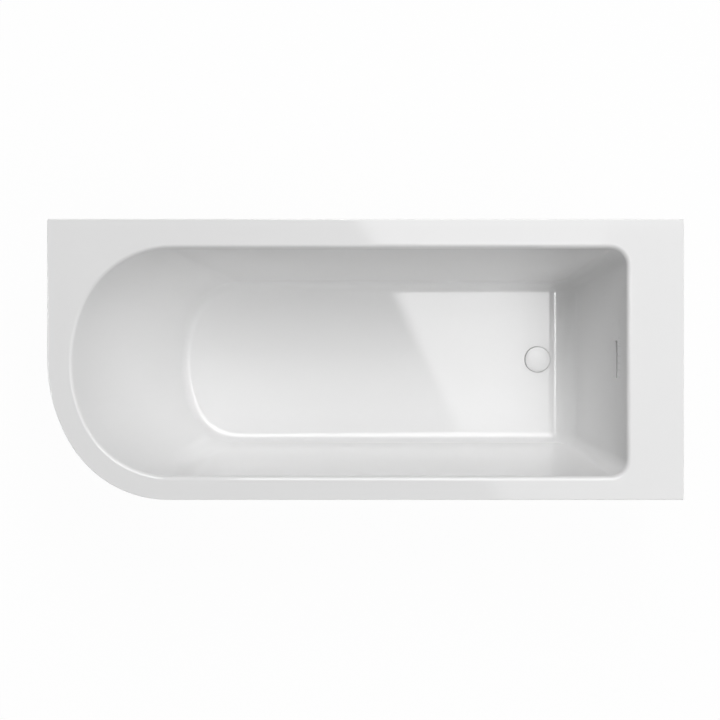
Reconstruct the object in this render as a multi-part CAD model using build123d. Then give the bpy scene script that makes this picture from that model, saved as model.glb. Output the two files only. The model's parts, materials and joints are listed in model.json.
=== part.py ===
from build123d import *
import os
from math import asin, atan, cos, pi, sin, sqrt, tan

# A back-to-wall corner bathtub: an acrylic shell on a steel cradle with levelling feet, a curved skirt
# on its open sides, and a pushed waste cover, trap and overflow under it.
# Millimetres. Origin: centre of the overall plan, on the floor. +X points to the waste end, which
# stands against the side wall, +Y to the back wall and +Z up.

# Overall sizes
length = 1700.0
width = 750.0
rim_top = 600.0

# Plan of the rim: three square corners and one large curve at the front left. Its end arc is larger than
# half the width by a reach of its own, and its shoulder arc smaller, so the two meet at any width.
curve_end_reach = 66.0
curve_shoulder_cut = 71.0
square_corner_radius = 4.0
rim_edge_radius = 2.5

# Rim widths, from the outer edge to where the line of the bowl's wall meets the rim's plane
rim_left = 64.0
rim_right = 151.0
rim_front = 62.0
rim_back = 77.5

# Bowl: its depth, how far each wall runs in on its way down, and the curve from each wall to the floor
bowl_depth = 430.0
wall_run = {"left": 262.0, "right": 108.0, "front": 77.0, "back": 77.5}
cove_radius = {"left": 40.0, "right": 83.0, "front": 32.0, "back": 32.0}
rim_round = 13.0
end_arch_top_reach = 80.75
end_arch_floor_reach = 117.0
end_shoulder_top_cut = 52.25
end_shoulder_floor_cut = 73.0
bowl_corner_top_radius = 45.0
bowl_corner_floor_radius = 30.0
least_corner_radius = 6.0
floor_fall = 8.0
floor_fall_length = 1100.0
round_bands = 5
cove_bands = 10

# Shell: acrylic and its glass-fibre backing as one laminate, and the lip turned down round the rim
shell = 6.0
lip_depth = 30.0
lip_wall = 5.0

# Gaps: between clamped or bonded pieces, between a shaft and its hole, and between panels, and how
# far a cutting form reaches past what it cuts
bond_gap = 0.2
running_gap = 0.08
panel_gap = 0.3
overcut = 1.0

# Waste
waste_to_wall_foot = 93.0
flange_recess_gap = 3.0
waste_recess_depth = 2.0
waste_boss_radius = 46.0
waste_boss_drop = 3.0
waste_hole_gap = 2.0
flange_radius = 35.0
flange_thickness = 2.2
flange_edge_bevel = 1.5
flange_throat_bevel = 4.0
tail_radius = 24.0
tail_bore_radius = 22.0
tail_length = 29.0
washer_thickness = 2.0
washer_bore_gap = 0.5
flange_seal_inset = 2.0
body_seal_overhang = 2.0
spider_boss_wall = 2.5
spider_boss_height = 12.0
spider_drop = 10.0
spider_arm_width = 3.0
spider_arms = 3
spider_arm_cutback = 3.0
spider_turn = 30.0
cartridge_radius = 7.0
cartridge_length = 34.0
cartridge_head_radius = 9.0
cartridge_head_height = 2.5
cartridge_end_wall = 3.0
stem_radius = 4.0
stem_in_sleeve = 15.0
stem_in_cover = 1.0
cover_overhang = 1.0
cover_height = 5.0
cover_edge_round = 1.8
cover_gap = 0.5
cover_hub_radius = 8.0
cover_hub_depth = 5.0
plug_seal_gap = 0.7
plug_seal_height = 3.4
plug_seal_bevel = 1.6
plug_travel = 9.0

# Waste body and trap
body_wall = 7.0
body_below_port = 17.0
body_cavity_gap = 2.0
body_foot_bevel = 6.0
body_foot_step = 1.5
body_floor_wall = 3.0
neck_radius = 24.0
neck_length = 14.0
neck_bore_radius = 19.0
port_below_tail = 4.8
spigot_radius = 10.0
spigot_bore_radius = 8.0
spigot_length = 26.0
spigot_root = 3.0
port_collar_reach = 2.0
trap_tube_radius = 21.5
trap_tube_bore_radius = 19.0
trap_bend_radius = 26.0
trap_bend_width = 84.0
trap_clear_of_floor = 14.0
trap_outlet_rise = 64.5
trap_collar_gap = 1.0
trap_collar_height = 3.0
inlet_nut_height = 20.0
nut_wall = 5.5
nut_lip = 3.0
nut_ribs = 12
nut_rib_height = 1.2
nut_rib_width = 5.0
eye_radius = 15.0
eye_bore_radius = 11.0
eye_drop = 4.0
eye_cap_height = 5.5
eye_cap_overhang = 1.5
eye_cap_grip = 6.0
outlet_pipe_radius = 20.0
outlet_fit = 0.25
outlet_socket_radius = 25.0
outlet_socket_depth = 30.0
outlet_straight = 3.0
outlet_nut_length = 22.0
outlet_seal_length = 3.0
outlet_seal_inset = 0.5
outlet_seal_slack = 0.8
outlet_nut_bore_gap = 1.0

# Overflow
slot_below_rim = 77.5
slot_length = 100.0
slot_height = 12.0
slot_corner_radius = 2.0
gasket_border = 11.0
gasket_thickness = 2.0
gasket_corner_radius = 5.0
gasket_slot_gap = 2.0
box_flange_border = 13.0
box_flange_thickness = 3.0
box_border = 6.0
box_wall = 3.0
box_depth = 26.0
box_collar_length = 10.0
box_corner_radius = 4.0
hose_from_box_face = 9.0
box_spigot_length = 36.0
hose_fit = 0.1
hose_wall = 1.5
hose_rib_height = 1.9
hose_cuff_length = 27.0
hose_rib_pitch = 8.0
hose_crest_share = 0.42
hose_flank_share = 0.12
clip_thickness = 1.0
clip_width = 9.0
clip_screw_radius = 3.5
clip_screw_length = 16.0

# Skirt
skirt_thickness = 5.0
skirt_foot_clearance = 4.0
skirt_foot_inset = 42.0

# Board under the floor, and the battens under the rim
board_thickness = 18.0
board_inset = 10.0
board_end_from_waste = 22.0
board_notch_gap = 10.0
batten_width = 40.0
batten_from_lip = 4.0
front_batten_width = 22.0
front_batten_from_skirt = 2.0
batten_end_setback = 150.0
deck_batten_width = 84.0
deck_batten_from_lip = 22.0
deck_batten_end_setback = 62.0

# Cradle
side_rail_width = 20.0
side_rail_height = 20.0
side_rail_inset = 55.0
side_rail_setback = 94.0
side_rail_end_gap = 5.0
cross_rail_width = 30.0
cross_rail_height = 20.0
cross_rail_end_setback = 90.0
cross_rail_setback = 30.0
cross_rail_before_waste = 98.0
rail_wall = 2.0
rail_bolt_radius = 4.0
rail_bolt_head_across = 13.0
rail_bolt_head_height = 5.3
rail_bolt_reach = 8.0
board_screw_radius = 2.5
board_screw_head_radius = 4.5
board_screw_head_height = 2.5
board_screw_grip = 12.0
board_screws_per_rail = 4
board_screw_setback = {"left": 70.0, "right": 20.0}
board_screw_access = 1.0

# Levelling feet
foot_from_rail_end = 35.0
stud_radius = 5.0
stud_above_nut = 3.0
stud_hex_across = 14.0
stud_hex_height = 6.0
stud_hex_level = 24.0
stud_tip_bevel = 1.0
pad_radius = 25.0
pad_edge_height = 5.0
pad_step_radius = 17.0
pad_step_height = 9.0
pad_neck_radius = 11.0
pad_height = 20.0
pad_socket_floor = 8.0
foot_nut_across = 17.0
foot_nut_height = 8.0
foot_travel = 12.0

# Wall brackets and panel straps
bracket_width = 44.0
bracket_leg = 45.0
bracket_drop = 45.0
bracket_thickness = 2.0
bracket_hole_radius = 3.25
bracket_hole_spacing = 24.0
bracket_hole_drop = 26.0
bracket_screw_radius = 2.0
bracket_screw_head_radius = 3.8
bracket_screw_head_height = 2.2
bracket_screw_grip = 16.0
bracket_screw_from_tip = 11.0
back_bracket_setback = 290.0
end_bracket_setback = 205.0
strap_width = 25.0
strap_thickness = 2.5
strap_upstand = 34.0
strap_grip = 22.0

# Levels and places that follow from the sizes above
floor_level = rim_top - bowl_depth
shell_underside = floor_level - shell
rim_underside = rim_top - shell
lip_bottom = rim_top - lip_depth
opening = {
    "left": -length / 2 + rim_left,
    "right": length / 2 - rim_right,
    "front": -width / 2 + rim_front,
    "back": width / 2 - rim_back,
}
outward = {"left": -1, "right": 1, "front": -1, "back": 1}
wall_foot = {side: opening[side] - outward[side] * wall_run[side] for side in opening}
wall_slope = {side: atan(wall_run[side] / bowl_depth) for side in opening}
half_opening = (opening["back"] - opening["front"]) / 2
half_foot = (wall_foot["back"] - wall_foot["front"]) / 2
curve_end_radius = width / 2 + curve_end_reach
curve_shoulder_radius = width / 2 - curve_shoulder_cut
end_arch_top_radius = half_opening + end_arch_top_reach
end_arch_floor_radius = half_foot + end_arch_floor_reach
end_shoulder_top_radius = half_opening - end_shoulder_top_cut
end_shoulder_floor_radius = half_foot - end_shoulder_floor_cut
waste_x = wall_foot["right"] - waste_to_wall_foot
waste_recess_radius = flange_radius + flange_recess_gap
waste_hole_radius = tail_radius + waste_hole_gap
recess_level = floor_level - waste_recess_depth
boss_underside = shell_underside - waste_boss_drop
board_bottom = shell_underside - bond_gap - board_thickness
side_rail_top = board_bottom - bond_gap
side_rail_bottom = side_rail_top - side_rail_height
cross_rail_top = side_rail_bottom - bond_gap
cross_rail_bottom = cross_rail_top - cross_rail_height
board_right = waste_x + board_end_from_waste
side_rail_left = wall_foot["left"] + side_rail_setback
side_rail_right = board_right - side_rail_end_gap
side_rail_y = wall_foot["back"] - side_rail_inset
cross_rail_length = width - 2 * cross_rail_end_setback
first_cross_x = side_rail_left + cross_rail_setback
last_cross_x = waste_x - cross_rail_before_waste
cross_rail_x = [first_cross_x, (first_cross_x + last_cross_x) / 2, last_cross_x]
foot_y = cross_rail_length / 2 - foot_from_rail_end
foot_nut_top = cross_rail_top + bond_gap + foot_nut_height
stud_top = foot_nut_top + foot_travel + stud_above_nut
back_bracket_x = length / 2 - back_bracket_setback
end_bracket_y = width / 2 - end_bracket_setback
board_notch_width = 2 * (waste_boss_radius + board_notch_gap)

# The bowl's form
def cove_offset(side, height, grow):
    """How far the cove at the wall's foot stands from the wall's line, outward positive."""
    slope = wall_slope[side]
    radius = cove_radius[side] + grow
    rise = height - (floor_level - grow)
    tangent = radius * tan((pi / 2 - slope) / 2)
    flat_edge = grow / cos(slope) - grow * tan(slope) - tangent
    reach = sqrt(max(0.0, radius**2 - (radius - rise) ** 2))
    return flat_edge + reach - (height - floor_level) * tan(slope)


def rim_offset(side, height, grow):
    """How far the rounding below the rim stands from the wall's line, outward positive."""
    slope = wall_slope[side]
    radius = rim_round - grow
    drop = rim_top - grow - height
    tangent = radius * tan((pi / 2 - slope) / 2)
    flat_edge = grow / cos(slope) - grow * tan(slope) + tangent
    reach = sqrt(max(0.0, radius**2 - (radius - drop) ** 2))
    return flat_edge - reach + (rim_top - height) * tan(slope)


def profile_offset(side, height, grow):
    """Offset of one wall from its inner line: rounding at the top, straight wall, cove at the foot."""
    slope = wall_slope[side]
    if height < floor_level - grow + (cove_radius[side] + grow) * (1 - sin(slope)):
        return cove_offset(side, height, grow)
    if height > rim_top - grow - (rim_round - grow) * (1 - sin(slope)):
        return rim_offset(side, height, grow)
    return grow / cos(slope)


def point_on(centre, radius, angle):
    """A point on a circle, at an angle in radians from +X."""
    return (centre[0] + radius * cos(angle), centre[1] + radius * sin(angle))


def round_corner(x, y, radius, side_y):
    """Quarter arc of a right-hand corner, from the end wall to the side wall or back."""
    end_point = (x, y - side_y * radius)
    side_point = (x - radius, y)
    centre = (x - radius, y - side_y * radius)
    middle = point_on(centre, radius, side_y * pi / 4)
    if side_y < 0:
        return ThreePointArc(end_point, middle, side_point)
    return ThreePointArc(side_point, middle, end_point)


def bowl_outline(height, grow):
    """Outline of the bowl at one height: two side lines, an end line and a three-centre arch."""
    share = (height - floor_level) / bowl_depth
    offset = {side: profile_offset(side, height, grow) for side in opening}
    at = {
        side: wall_foot[side] + outward[side] * (wall_run[side] * share + offset[side])
        for side in opening
    }
    side_offset = (offset["front"] + offset["back"]) / 2
    end_radius = end_arch_floor_radius + (end_arch_top_radius - end_arch_floor_radius) * share
    end_radius += offset["left"]
    shoulder = end_shoulder_floor_radius
    shoulder += (end_shoulder_top_radius - end_shoulder_floor_radius) * share + side_offset
    corner = bowl_corner_floor_radius
    corner += (bowl_corner_top_radius - bowl_corner_floor_radius) * share + side_offset
    corner = max(least_corner_radius, corner)
    front, back, right, left = at["front"], at["back"], at["right"], at["left"]
    axis_y = (front + back) / 2
    half = (back - front) / 2
    turn = asin((half - shoulder) / (end_radius - shoulder))
    end_centre = (left + end_radius, axis_y)
    shoulder_x = end_centre[0] - (end_radius - shoulder) * cos(turn)
    front_centre = (shoulder_x, front + shoulder)
    back_centre = (shoulder_x, back - shoulder)
    front_joint = point_on(end_centre, end_radius, pi + turn)
    back_joint = point_on(end_centre, end_radius, pi - turn)
    half_turn = (pi / 2 - turn) / 2
    return [
        Line((right, back - corner), (right, front + corner)),
        round_corner(right, front, corner, -1),
        Line((right - corner, front), (shoulder_x, front)),
        ThreePointArc(
            (shoulder_x, front), point_on(front_centre, shoulder, 1.5 * pi - half_turn), front_joint
        ),
        ThreePointArc(front_joint, (left, axis_y), back_joint),
        ThreePointArc(
            back_joint, point_on(back_centre, shoulder, pi / 2 + half_turn), (shoulder_x, back)
        ),
        Line((shoulder_x, back), (right - corner, back)),
        round_corner(right, back, corner, 1),
    ]


def bowl_section(height, grow):
    """The outline as a face on a plane that tips with depth, so the floor falls to the waste."""
    tip = atan(floor_fall / floor_fall_length * (rim_top - height) / bowl_depth)
    plane = Plane(
        origin=(waste_x, 0, height), x_dir=(cos(tip), 0, -sin(tip)), z_dir=(sin(tip), 0, cos(tip))
    )
    return plane * make_face([Pos(-waste_x, 0, 0) * edge for edge in bowl_outline(height, grow)])


def bowl_solid(grow):
    """The space of the bowl, or with grow its outside: rounded rim, ruled walls and coved floor."""
    top = rim_top - grow
    floor = floor_level - grow
    round_radius = rim_round - grow
    widest_cove = max(cove_radius.values()) + grow
    cove_turn = pi / 2 - min(wall_slope.values())
    heights = [top - round_radius * (1 - cos(pi / 2 * i / round_bands)) for i in range(round_bands + 1)]
    for i in range(cove_bands, -1, -1):
        heights.append(floor + widest_cove * (1 - cos(cove_turn * i / cove_bands)))
    return loft([bowl_section(height, grow) for height in heights], ruled=True)


# The rim's plan
def rim_outline(inset, open_sides=0.0):
    """Plan of the rim set in on the left and front, and out past the walls by open_sides."""
    left = -length / 2 + inset
    front = -width / 2 + inset
    right = length / 2 + open_sides
    back = width / 2 + open_sides
    end_radius = curve_end_radius - inset
    shoulder = curve_shoulder_radius - inset
    half = width / 2 - inset
    turn = asin((half - shoulder) / (end_radius - shoulder))
    end_centre = (left + end_radius, 0)
    shoulder_centre = (end_centre[0] - (end_radius - shoulder) * cos(turn), front + shoulder)
    joint = point_on(end_centre, end_radius, pi + turn)
    shoulder_middle = point_on(shoulder_centre, shoulder, 1.5 * pi - (pi / 2 - turn) / 2)
    end_middle = point_on(end_centre, end_radius, pi + turn / 2)
    return [
        Line((right, back), (right, front)),
        Line((right, front), (shoulder_centre[0], front)),
        ThreePointArc((shoulder_centre[0], front), shoulder_middle, joint),
        ThreePointArc(joint, end_middle, (left, 0)),
        Line((left, 0), (left, back)),
        Line((left, back), (right, back)),
    ]


def rim_slab(inset, bottom, top):
    """The rim's plan, set in on every side, as a slab between two levels."""
    face = make_face(rim_outline(inset, -inset))
    return Pos(0, 0, bottom) * extrude(face, top - bottom)


def square_corner_edges(slab):
    """The upright edges at the three square corners."""
    corners = [(length / 2, width / 2), (length / 2, -width / 2), (-length / 2, width / 2)]
    return [
        edge
        for edge in slab.edges().filter_by(Axis.Z)
        if any(abs(edge.center().X - x) < 1 and abs(edge.center().Y - y) < 1 for x, y in corners)
    ]


def disc(radius, bottom, top, x=0.0, y=0.0):
    """An upright cylinder between two levels."""
    return Pos(x, y, bottom) * Cylinder(
        radius, top - bottom, align=(Align.CENTER, Align.CENTER, Align.MIN)
    )


def ring(outer_radius, inner_radius, bottom, top, x=0.0, y=0.0):
    """An upright ring between two levels."""
    hole = disc(inner_radius, bottom - overcut, top + overcut, x, y)
    return disc(outer_radius, bottom, top, x, y) - hole


def bar(x_low, x_high, y_low, y_high, z_low, z_high):
    """A box between two corners."""
    size = (x_high - x_low, y_high - y_low, z_high - z_low)
    return Pos(x_low, y_low, z_low) * Box(*size, align=(Align.MIN, Align.MIN, Align.MIN))


def hexagon(across, bottom, top, x=0.0, y=0.0):
    """An upright hexagonal prism, given across its flats."""
    face = RegularPolygon(across / 2, 6, major_radius=False)
    return Pos(x, y, bottom) * extrude(face, top - bottom)


def turned(points, x=0.0, y=0.0):
    """A solid turned about an upright axis from its half profile of (radius, level) points."""
    face = make_face(Plane.XZ * Polyline(*points, close=True))
    return Pos(x, y, 0) * revolve(face, Axis.Z)


# Overflow: a plane on the end wall's inner face, at the slot, facing out through the wall
slot_level = rim_top - slot_below_rim
slot_x = wall_foot["right"] + (slot_level - floor_level) * tan(wall_slope["right"])
slot_plane = Plane(
    origin=(slot_x, 0, slot_level),
    x_dir=(0, 1, 0),
    z_dir=(cos(wall_slope["right"]), 0, -sin(wall_slope["right"])),
)


def slot_block(border, near, far, corner=slot_corner_radius):
    """A rounded block behind the slot, larger by border all round, between two distances from the wall."""
    face = RectangleRounded(slot_length + 2 * border, slot_height + 2 * border, corner)
    return slot_plane * Pos(0, 0, near) * extrude(face, far - near)


def slot_corner_edges(tub):
    """The four short edges of the slot that run through the wall."""
    corners = [
        slot_plane.from_local_coords((side * slot_length / 2, end * slot_height / 2, shell / 2))
        for side in (-1, 1)
        for end in (-1, 1)
    ]
    return [
        edge
        for edge in tub.edges()
        if any((edge.center() - corner).length < 1 for corner in corners)
    ]


def make_tub_shell():
    """Rim, deck, lip and bowl as one shell of even thickness."""
    slab = rim_slab(0, lip_bottom, rim_top)
    slab = fillet(square_corner_edges(slab), square_corner_radius)
    slab = fillet(slab.faces().sort_by(Axis.Z)[-1].outer_wire().edges(), rim_edge_radius)
    hollow = rim_slab(lip_wall, lip_bottom - overcut, rim_underside)
    tub = slab - hollow + bowl_solid(shell)
    tub += disc(waste_boss_radius, boss_underside, floor_level - overcut, waste_x)
    tub -= bowl_solid(0)
    tub -= disc(waste_recess_radius, recess_level, floor_level + overcut, waste_x)
    tub -= disc(waste_hole_radius, boss_underside - overcut, floor_level, waste_x)
    slot = extrude(Rectangle(slot_length, slot_height), slot_height + shell + overcut)
    tub -= slot_plane * Pos(0, 0, -slot_height) * slot
    return fillet(slot_corner_edges(tub), slot_corner_radius)


def skirt_loft(inset, open_sides):
    """The space behind the skirt's face when that is set in by inset: it narrows to the floor."""
    top_face = make_face(rim_outline(lip_wall + panel_gap + inset, open_sides))
    foot_face = make_face(rim_outline(skirt_foot_inset + inset, open_sides))
    top = rim_underside - bond_gap
    return loft([Pos(0, 0, top) * top_face, Pos(0, 0, skirt_foot_clearance) * foot_face], ruled=True)


def make_skirt_panel():
    """One curved panel down the left end, round the corner and along the front."""
    skirt = skirt_loft(0, 0) - skirt_loft(skirt_thickness, skirt_thickness)
    lip_inside = rim_slab(lip_wall + panel_gap, lip_bottom - panel_gap, rim_top)
    lip_zone = rim_slab(-lip_wall, lip_bottom - panel_gap, rim_top) - lip_inside
    return skirt - lip_zone


# Board and battens
def make_base_board():
    """Board bonded under the floor, notched round the waste, its top following the floor's fall."""
    plan = make_face(bowl_outline(shell_underside, shell))
    plan = offset(plan, -board_inset)
    board = Pos(0, 0, board_bottom) * extrude(plan, floor_level + floor_fall - board_bottom)
    board -= bowl_solid(shell + bond_gap)
    half_notch = board_notch_width / 2
    below = board_bottom - overcut
    board -= bar(board_right, length, -width, width, below, rim_top)
    board -= bar(waste_x, length, -half_notch, half_notch, below, rim_top)
    board -= disc(half_notch, below, rim_top, waste_x)
    pilot_top = board_bottom + board_screw_grip + overcut
    for x, y in board_screw_places():
        board -= disc(board_screw_radius + bond_gap, below, pilot_top, x, y)
    return board


batten_top = rim_underside - bond_gap
back_batten_y = width / 2 - lip_wall - batten_from_lip - batten_width / 2
front_batten_y = -width / 2 + lip_wall + panel_gap + skirt_thickness
front_batten_y += front_batten_from_skirt + front_batten_width / 2
deck_batten_x = length / 2 - lip_wall - deck_batten_from_lip - deck_batten_width / 2
front_straight_left = -length / 2 + curve_end_radius


def batten_block(x, y, x_size, y_size):
    """A batten under the rim, as deep as the lip, with pilot holes for the bracket screws."""
    half_x = x_size / 2
    half_y = y_size / 2
    batten = bar(x - half_x, x + half_x, y - half_y, y + half_y, lip_bottom, batten_top)
    below = lip_bottom - overcut
    pilot_top = lip_bottom + bracket_screw_grip + overcut
    for screw_x, screw_y in bracket_screw_places():
        batten -= disc(bracket_screw_radius + bond_gap, below, pilot_top, screw_x, screw_y)
    return batten


def make_back_batten():
    """Batten under the back rim, between the bowl's curved end and the deck."""
    left = -length / 2 + batten_end_setback
    right = length / 2 - batten_end_setback
    return batten_block((left + right) / 2, back_batten_y, right - left, batten_width)


def make_front_batten():
    """Batten under the straight part of the front rim."""
    right = length / 2 - batten_end_setback
    size = right - front_straight_left
    return batten_block((front_straight_left + right) / 2, front_batten_y, size, front_batten_width)


def make_deck_batten():
    """Wide batten under the deck at the waste end."""
    y_size = width - 2 * deck_batten_end_setback
    return batten_block(deck_batten_x, 0, deck_batten_width, y_size)


# Cradle
def board_screw_places():
    """Centres of the screws that hold the side rails to the board."""
    first = side_rail_left + board_screw_setback["left"]
    last = side_rail_right - board_screw_setback["right"]
    step = (last - first) / (board_screws_per_rail - 1)
    along = [first + step * i for i in range(board_screws_per_rail)]
    return [(x, side * side_rail_y) for side in (-1, 1) for x in along]


def rail_bolt_places():
    """Centres of the bolts where cross rails meet side rails."""
    return [(x, side * side_rail_y) for x in cross_rail_x for side in (-1, 1)]


def foot_places():
    """Centres of the levelling feet, near the ends of the cross rails."""
    return [(x, side * foot_y) for x in cross_rail_x for side in (-1, 1)]


def tube_bar(x_low, x_high, y_low, y_high, z_low, z_high, along_x):
    """A square steel tube, open at both ends."""
    wall_x = -overcut if along_x else rail_wall
    wall_y = rail_wall if along_x else -overcut
    low = (x_low + wall_x, y_low + wall_y, z_low + rail_wall)
    high = (x_high - wall_x, y_high - wall_y, z_high - rail_wall)
    inside = bar(low[0], high[0], low[1], high[1], low[2], high[2])
    return bar(x_low, x_high, y_low, y_high, z_low, z_high) - inside


def make_side_rail(side):
    """A rail along the board, drilled for its bolts and screws."""
    y = side * side_rail_y
    half = side_rail_width / 2
    bottom = side_rail_bottom
    rail = tube_bar(side_rail_left, side_rail_right, y - half, y + half, bottom, side_rail_top, True)
    low_wall = bottom + rail_wall + overcut
    for x, hole_y in board_screw_places():
        rail -= disc(board_screw_radius + bond_gap, low_wall, rim_top, x, hole_y)
        rail -= disc(board_screw_head_radius + board_screw_access, 0, low_wall, x, hole_y)
    for x, hole_y in rail_bolt_places():
        rail -= disc(rail_bolt_radius + bond_gap, 0, low_wall, x, hole_y)
    return rail


def make_cross_rail(x):
    """A rail across the bath, drilled for its bolts and for the two feet."""
    half_x = cross_rail_width / 2
    half_y = cross_rail_length / 2
    rail = tube_bar(x - half_x, x + half_x, -half_y, half_y, cross_rail_bottom, cross_rail_top, False)
    for hole_x, y in rail_bolt_places():
        rail -= disc(rail_bolt_radius + bond_gap, 0, rim_top, hole_x, y)
    for hole_x, y in foot_places():
        rail -= disc(stud_radius + running_gap, 0, rim_top, hole_x, y)
    return rail


def make_rail_bolts():
    """Hexagon bolts up through the cross rails into the side rails' lower walls."""
    bolts = []
    for x, y in rail_bolt_places():
        head_top = cross_rail_bottom - bond_gap
        head = hexagon(rail_bolt_head_across, head_top - rail_bolt_head_height, head_top, x, y)
        shank_top = side_rail_bottom + rail_wall + rail_bolt_reach
        shank = disc(rail_bolt_radius, head_top - overcut, shank_top, x, y)
        bolts.append(head + shank)
    return bolts


def make_board_screws():
    """Pan-head screws inside the side rails, up into the board."""
    screws = []
    for x, y in board_screw_places():
        head_top = side_rail_top - rail_wall - bond_gap
        head = disc(board_screw_head_radius, head_top - board_screw_head_height, head_top, x, y)
        shank_top = board_bottom + board_screw_grip
        shank = disc(board_screw_radius, head_top - overcut, shank_top, x, y)
        screws.append(head + shank)
    return screws


# Levelling feet
def make_foot_stud(x, y):
    """Threaded stud with a hexagon to turn it by."""
    stud = disc(stud_radius, pad_socket_floor + bond_gap, stud_top, x, y)
    stud = chamfer(stud.edges().sort_by(Axis.Z)[-1], stud_tip_bevel)
    return stud + hexagon(stud_hex_across, stud_hex_level, stud_hex_level + stud_hex_height, x, y)


def make_foot_pad(x, y):
    """Plastic pad turned about the stud: a flat foot, a step and a socketed neck."""
    socket = stud_radius + running_gap
    profile = [
        (0, 0),
        (pad_radius, 0),
        (pad_radius, pad_edge_height),
        (pad_step_radius, pad_edge_height),
        (pad_step_radius, pad_step_height),
        (pad_neck_radius, pad_step_height),
        (pad_neck_radius, pad_height),
        (socket, pad_height),
        (socket, pad_socket_floor),
        (0, pad_socket_floor),
    ]
    return turned(profile, x, y)


def make_foot_nuts():
    """Two nuts on each stud, one above and one below the cross rail."""
    nuts = []
    for x, y in foot_places():
        for bottom in (cross_rail_top + bond_gap, cross_rail_bottom - bond_gap - foot_nut_height):
            nut = hexagon(foot_nut_across, bottom, bottom + foot_nut_height, x, y)
            nuts.append(nut - disc(stud_radius + running_gap, 0, rim_top, x, y))
    return nuts


# Wall brackets
def bracket_places():
    """Middle of each bracket at the wall, and the way its wall lies."""
    wall_y = width / 2
    wall_x = length / 2
    back = [(x, wall_y, 90) for x in (-back_bracket_x, 0, back_bracket_x)]
    end = [(wall_x, y, 0) for y in (-end_bracket_y, end_bracket_y)]
    return back + end


def bracket_screw_places():
    """Centres of the two screws that hold each bracket to its batten."""
    places = []
    from_wall = bracket_leg - bracket_screw_from_tip
    for x, y, angle in bracket_places():
        for side in (-1, 1):
            reach = Vector(-from_wall, side * bracket_hole_spacing / 2, 0).rotate(Axis.Z, angle)
            places.append((x + reach.X, y + reach.Y))
    return places


def make_wall_bracket(x, y, angle):
    """Steel angle: one leg under the batten, the other flat on the wall below the lip."""
    top = lip_bottom - bond_gap
    half = bracket_width / 2
    leg = bar(-bracket_leg, 0, -half, half, top - bracket_thickness, top)
    upright = bar(-bracket_thickness, 0, -half, half, top - bracket_drop, top)
    bend = leg + upright
    screw_x = bracket_screw_from_tip - bracket_leg
    below = top - bracket_thickness - overcut
    for side in (-1, 1):
        hole_y = side * bracket_hole_spacing / 2
        hole = Pos(-bracket_thickness / 2, hole_y, top - bracket_hole_drop) * Rot(0, 90, 0)
        bend -= hole * Cylinder(bracket_hole_radius, bracket_thickness + 2 * overcut)
        bend -= disc(bracket_screw_radius + bond_gap, below, top + overcut, screw_x, hole_y)
    return Pos(x, y, 0) * Rot(0, 0, angle) * bend


def make_bracket_screws():
    """Pan-head screws up through the brackets into the battens."""
    screws = []
    head_top = lip_bottom - 2 * bond_gap - bracket_thickness
    for x, y in bracket_screw_places():
        head = disc(bracket_screw_head_radius, head_top - bracket_screw_head_height, head_top, x, y)
        shank_top = lip_bottom + bracket_screw_grip
        shank = disc(bracket_screw_radius, head_top - overcut, shank_top, x, y)
        screws.append(head + shank)
    return screws


def make_panel_strap(x):
    """Steel strap from a cross rail's front end, turned up against the skirt's inner face."""
    half = strap_width / 2
    bottom = cross_rail_top + bond_gap
    rail_end = -cross_rail_length / 2
    flat_end = rail_end + strap_grip
    flat = bar(x - half, x + half, -width / 2, flat_end, bottom, bottom + strap_thickness)
    inner = skirt_loft(skirt_thickness + bond_gap, 0)
    upstand = bar(x - half, x + half, -width / 2, rail_end, bottom, bottom + strap_upstand)
    upstand -= skirt_loft(skirt_thickness + bond_gap + strap_thickness, 0)
    return (flat & inner) + (upstand & inner)


# Waste
flange_top = recess_level + washer_thickness / 2 + 2 * bond_gap + flange_thickness
flange_bottom = flange_top - flange_thickness
cover_bottom = flange_top + cover_gap
cover_radius = flange_radius + cover_overhang
plug_seal_radius = tail_bore_radius - plug_seal_gap
spider_boss_radius = cartridge_radius + spider_boss_wall
body_top = boss_underside - 2 * bond_gap - washer_thickness
body_radius = tail_radius + body_wall
body_cavity_radius = tail_radius + body_cavity_gap
thread_bottom = flange_bottom - tail_length - 1.0
port_level = thread_bottom - port_below_tail
body_bottom = port_level - body_below_port
hose_bore_radius = spigot_radius + hose_fit
hose_valley_radius = hose_bore_radius + hose_wall
hose_crest_radius = hose_valley_radius + hose_rib_height
port_collar_radius = hose_crest_radius
spider_top = flange_top - spider_drop
cartridge_top = spider_top + cartridge_head_height + bond_gap


def make_waste_flange():
    """Flange and tail turned as one, with cross bars that carry the cartridge."""
    throat = tail_bore_radius
    profile = [
        (throat, flange_bottom - tail_length),
        (tail_radius, flange_bottom - tail_length),
        (tail_radius, flange_bottom),
        (flange_radius, flange_bottom),
        (flange_radius, flange_top - flange_edge_bevel),
        (flange_radius - flange_edge_bevel, flange_top),
        (throat + flange_throat_bevel, flange_top),
        (throat, flange_top - flange_throat_bevel),
    ]
    flange = turned(profile, waste_x)
    boss_bottom = spider_top - spider_boss_height
    spider = disc(spider_boss_radius, boss_bottom, spider_top, waste_x)
    for i in range(spider_arms):
        half = spider_arm_width / 2
        arm_end = (throat + tail_radius) / 2
        arm = bar(0, arm_end, -half, half, boss_bottom + spider_arm_cutback, spider_top)
        spider += Pos(waste_x, 0, 0) * Rot(0, 0, 360 / spider_arms * i + spider_turn) * arm
    flange += spider
    return flange - disc(cartridge_radius + running_gap, 0, rim_top, waste_x)


def make_flange_seal():
    """Washer between the flange and the recess in the floor."""
    bottom = recess_level + bond_gap
    top = bottom + washer_thickness / 2
    outer = flange_radius - flange_seal_inset
    return ring(outer, tail_radius + washer_bore_gap, bottom, top, waste_x)


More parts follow.
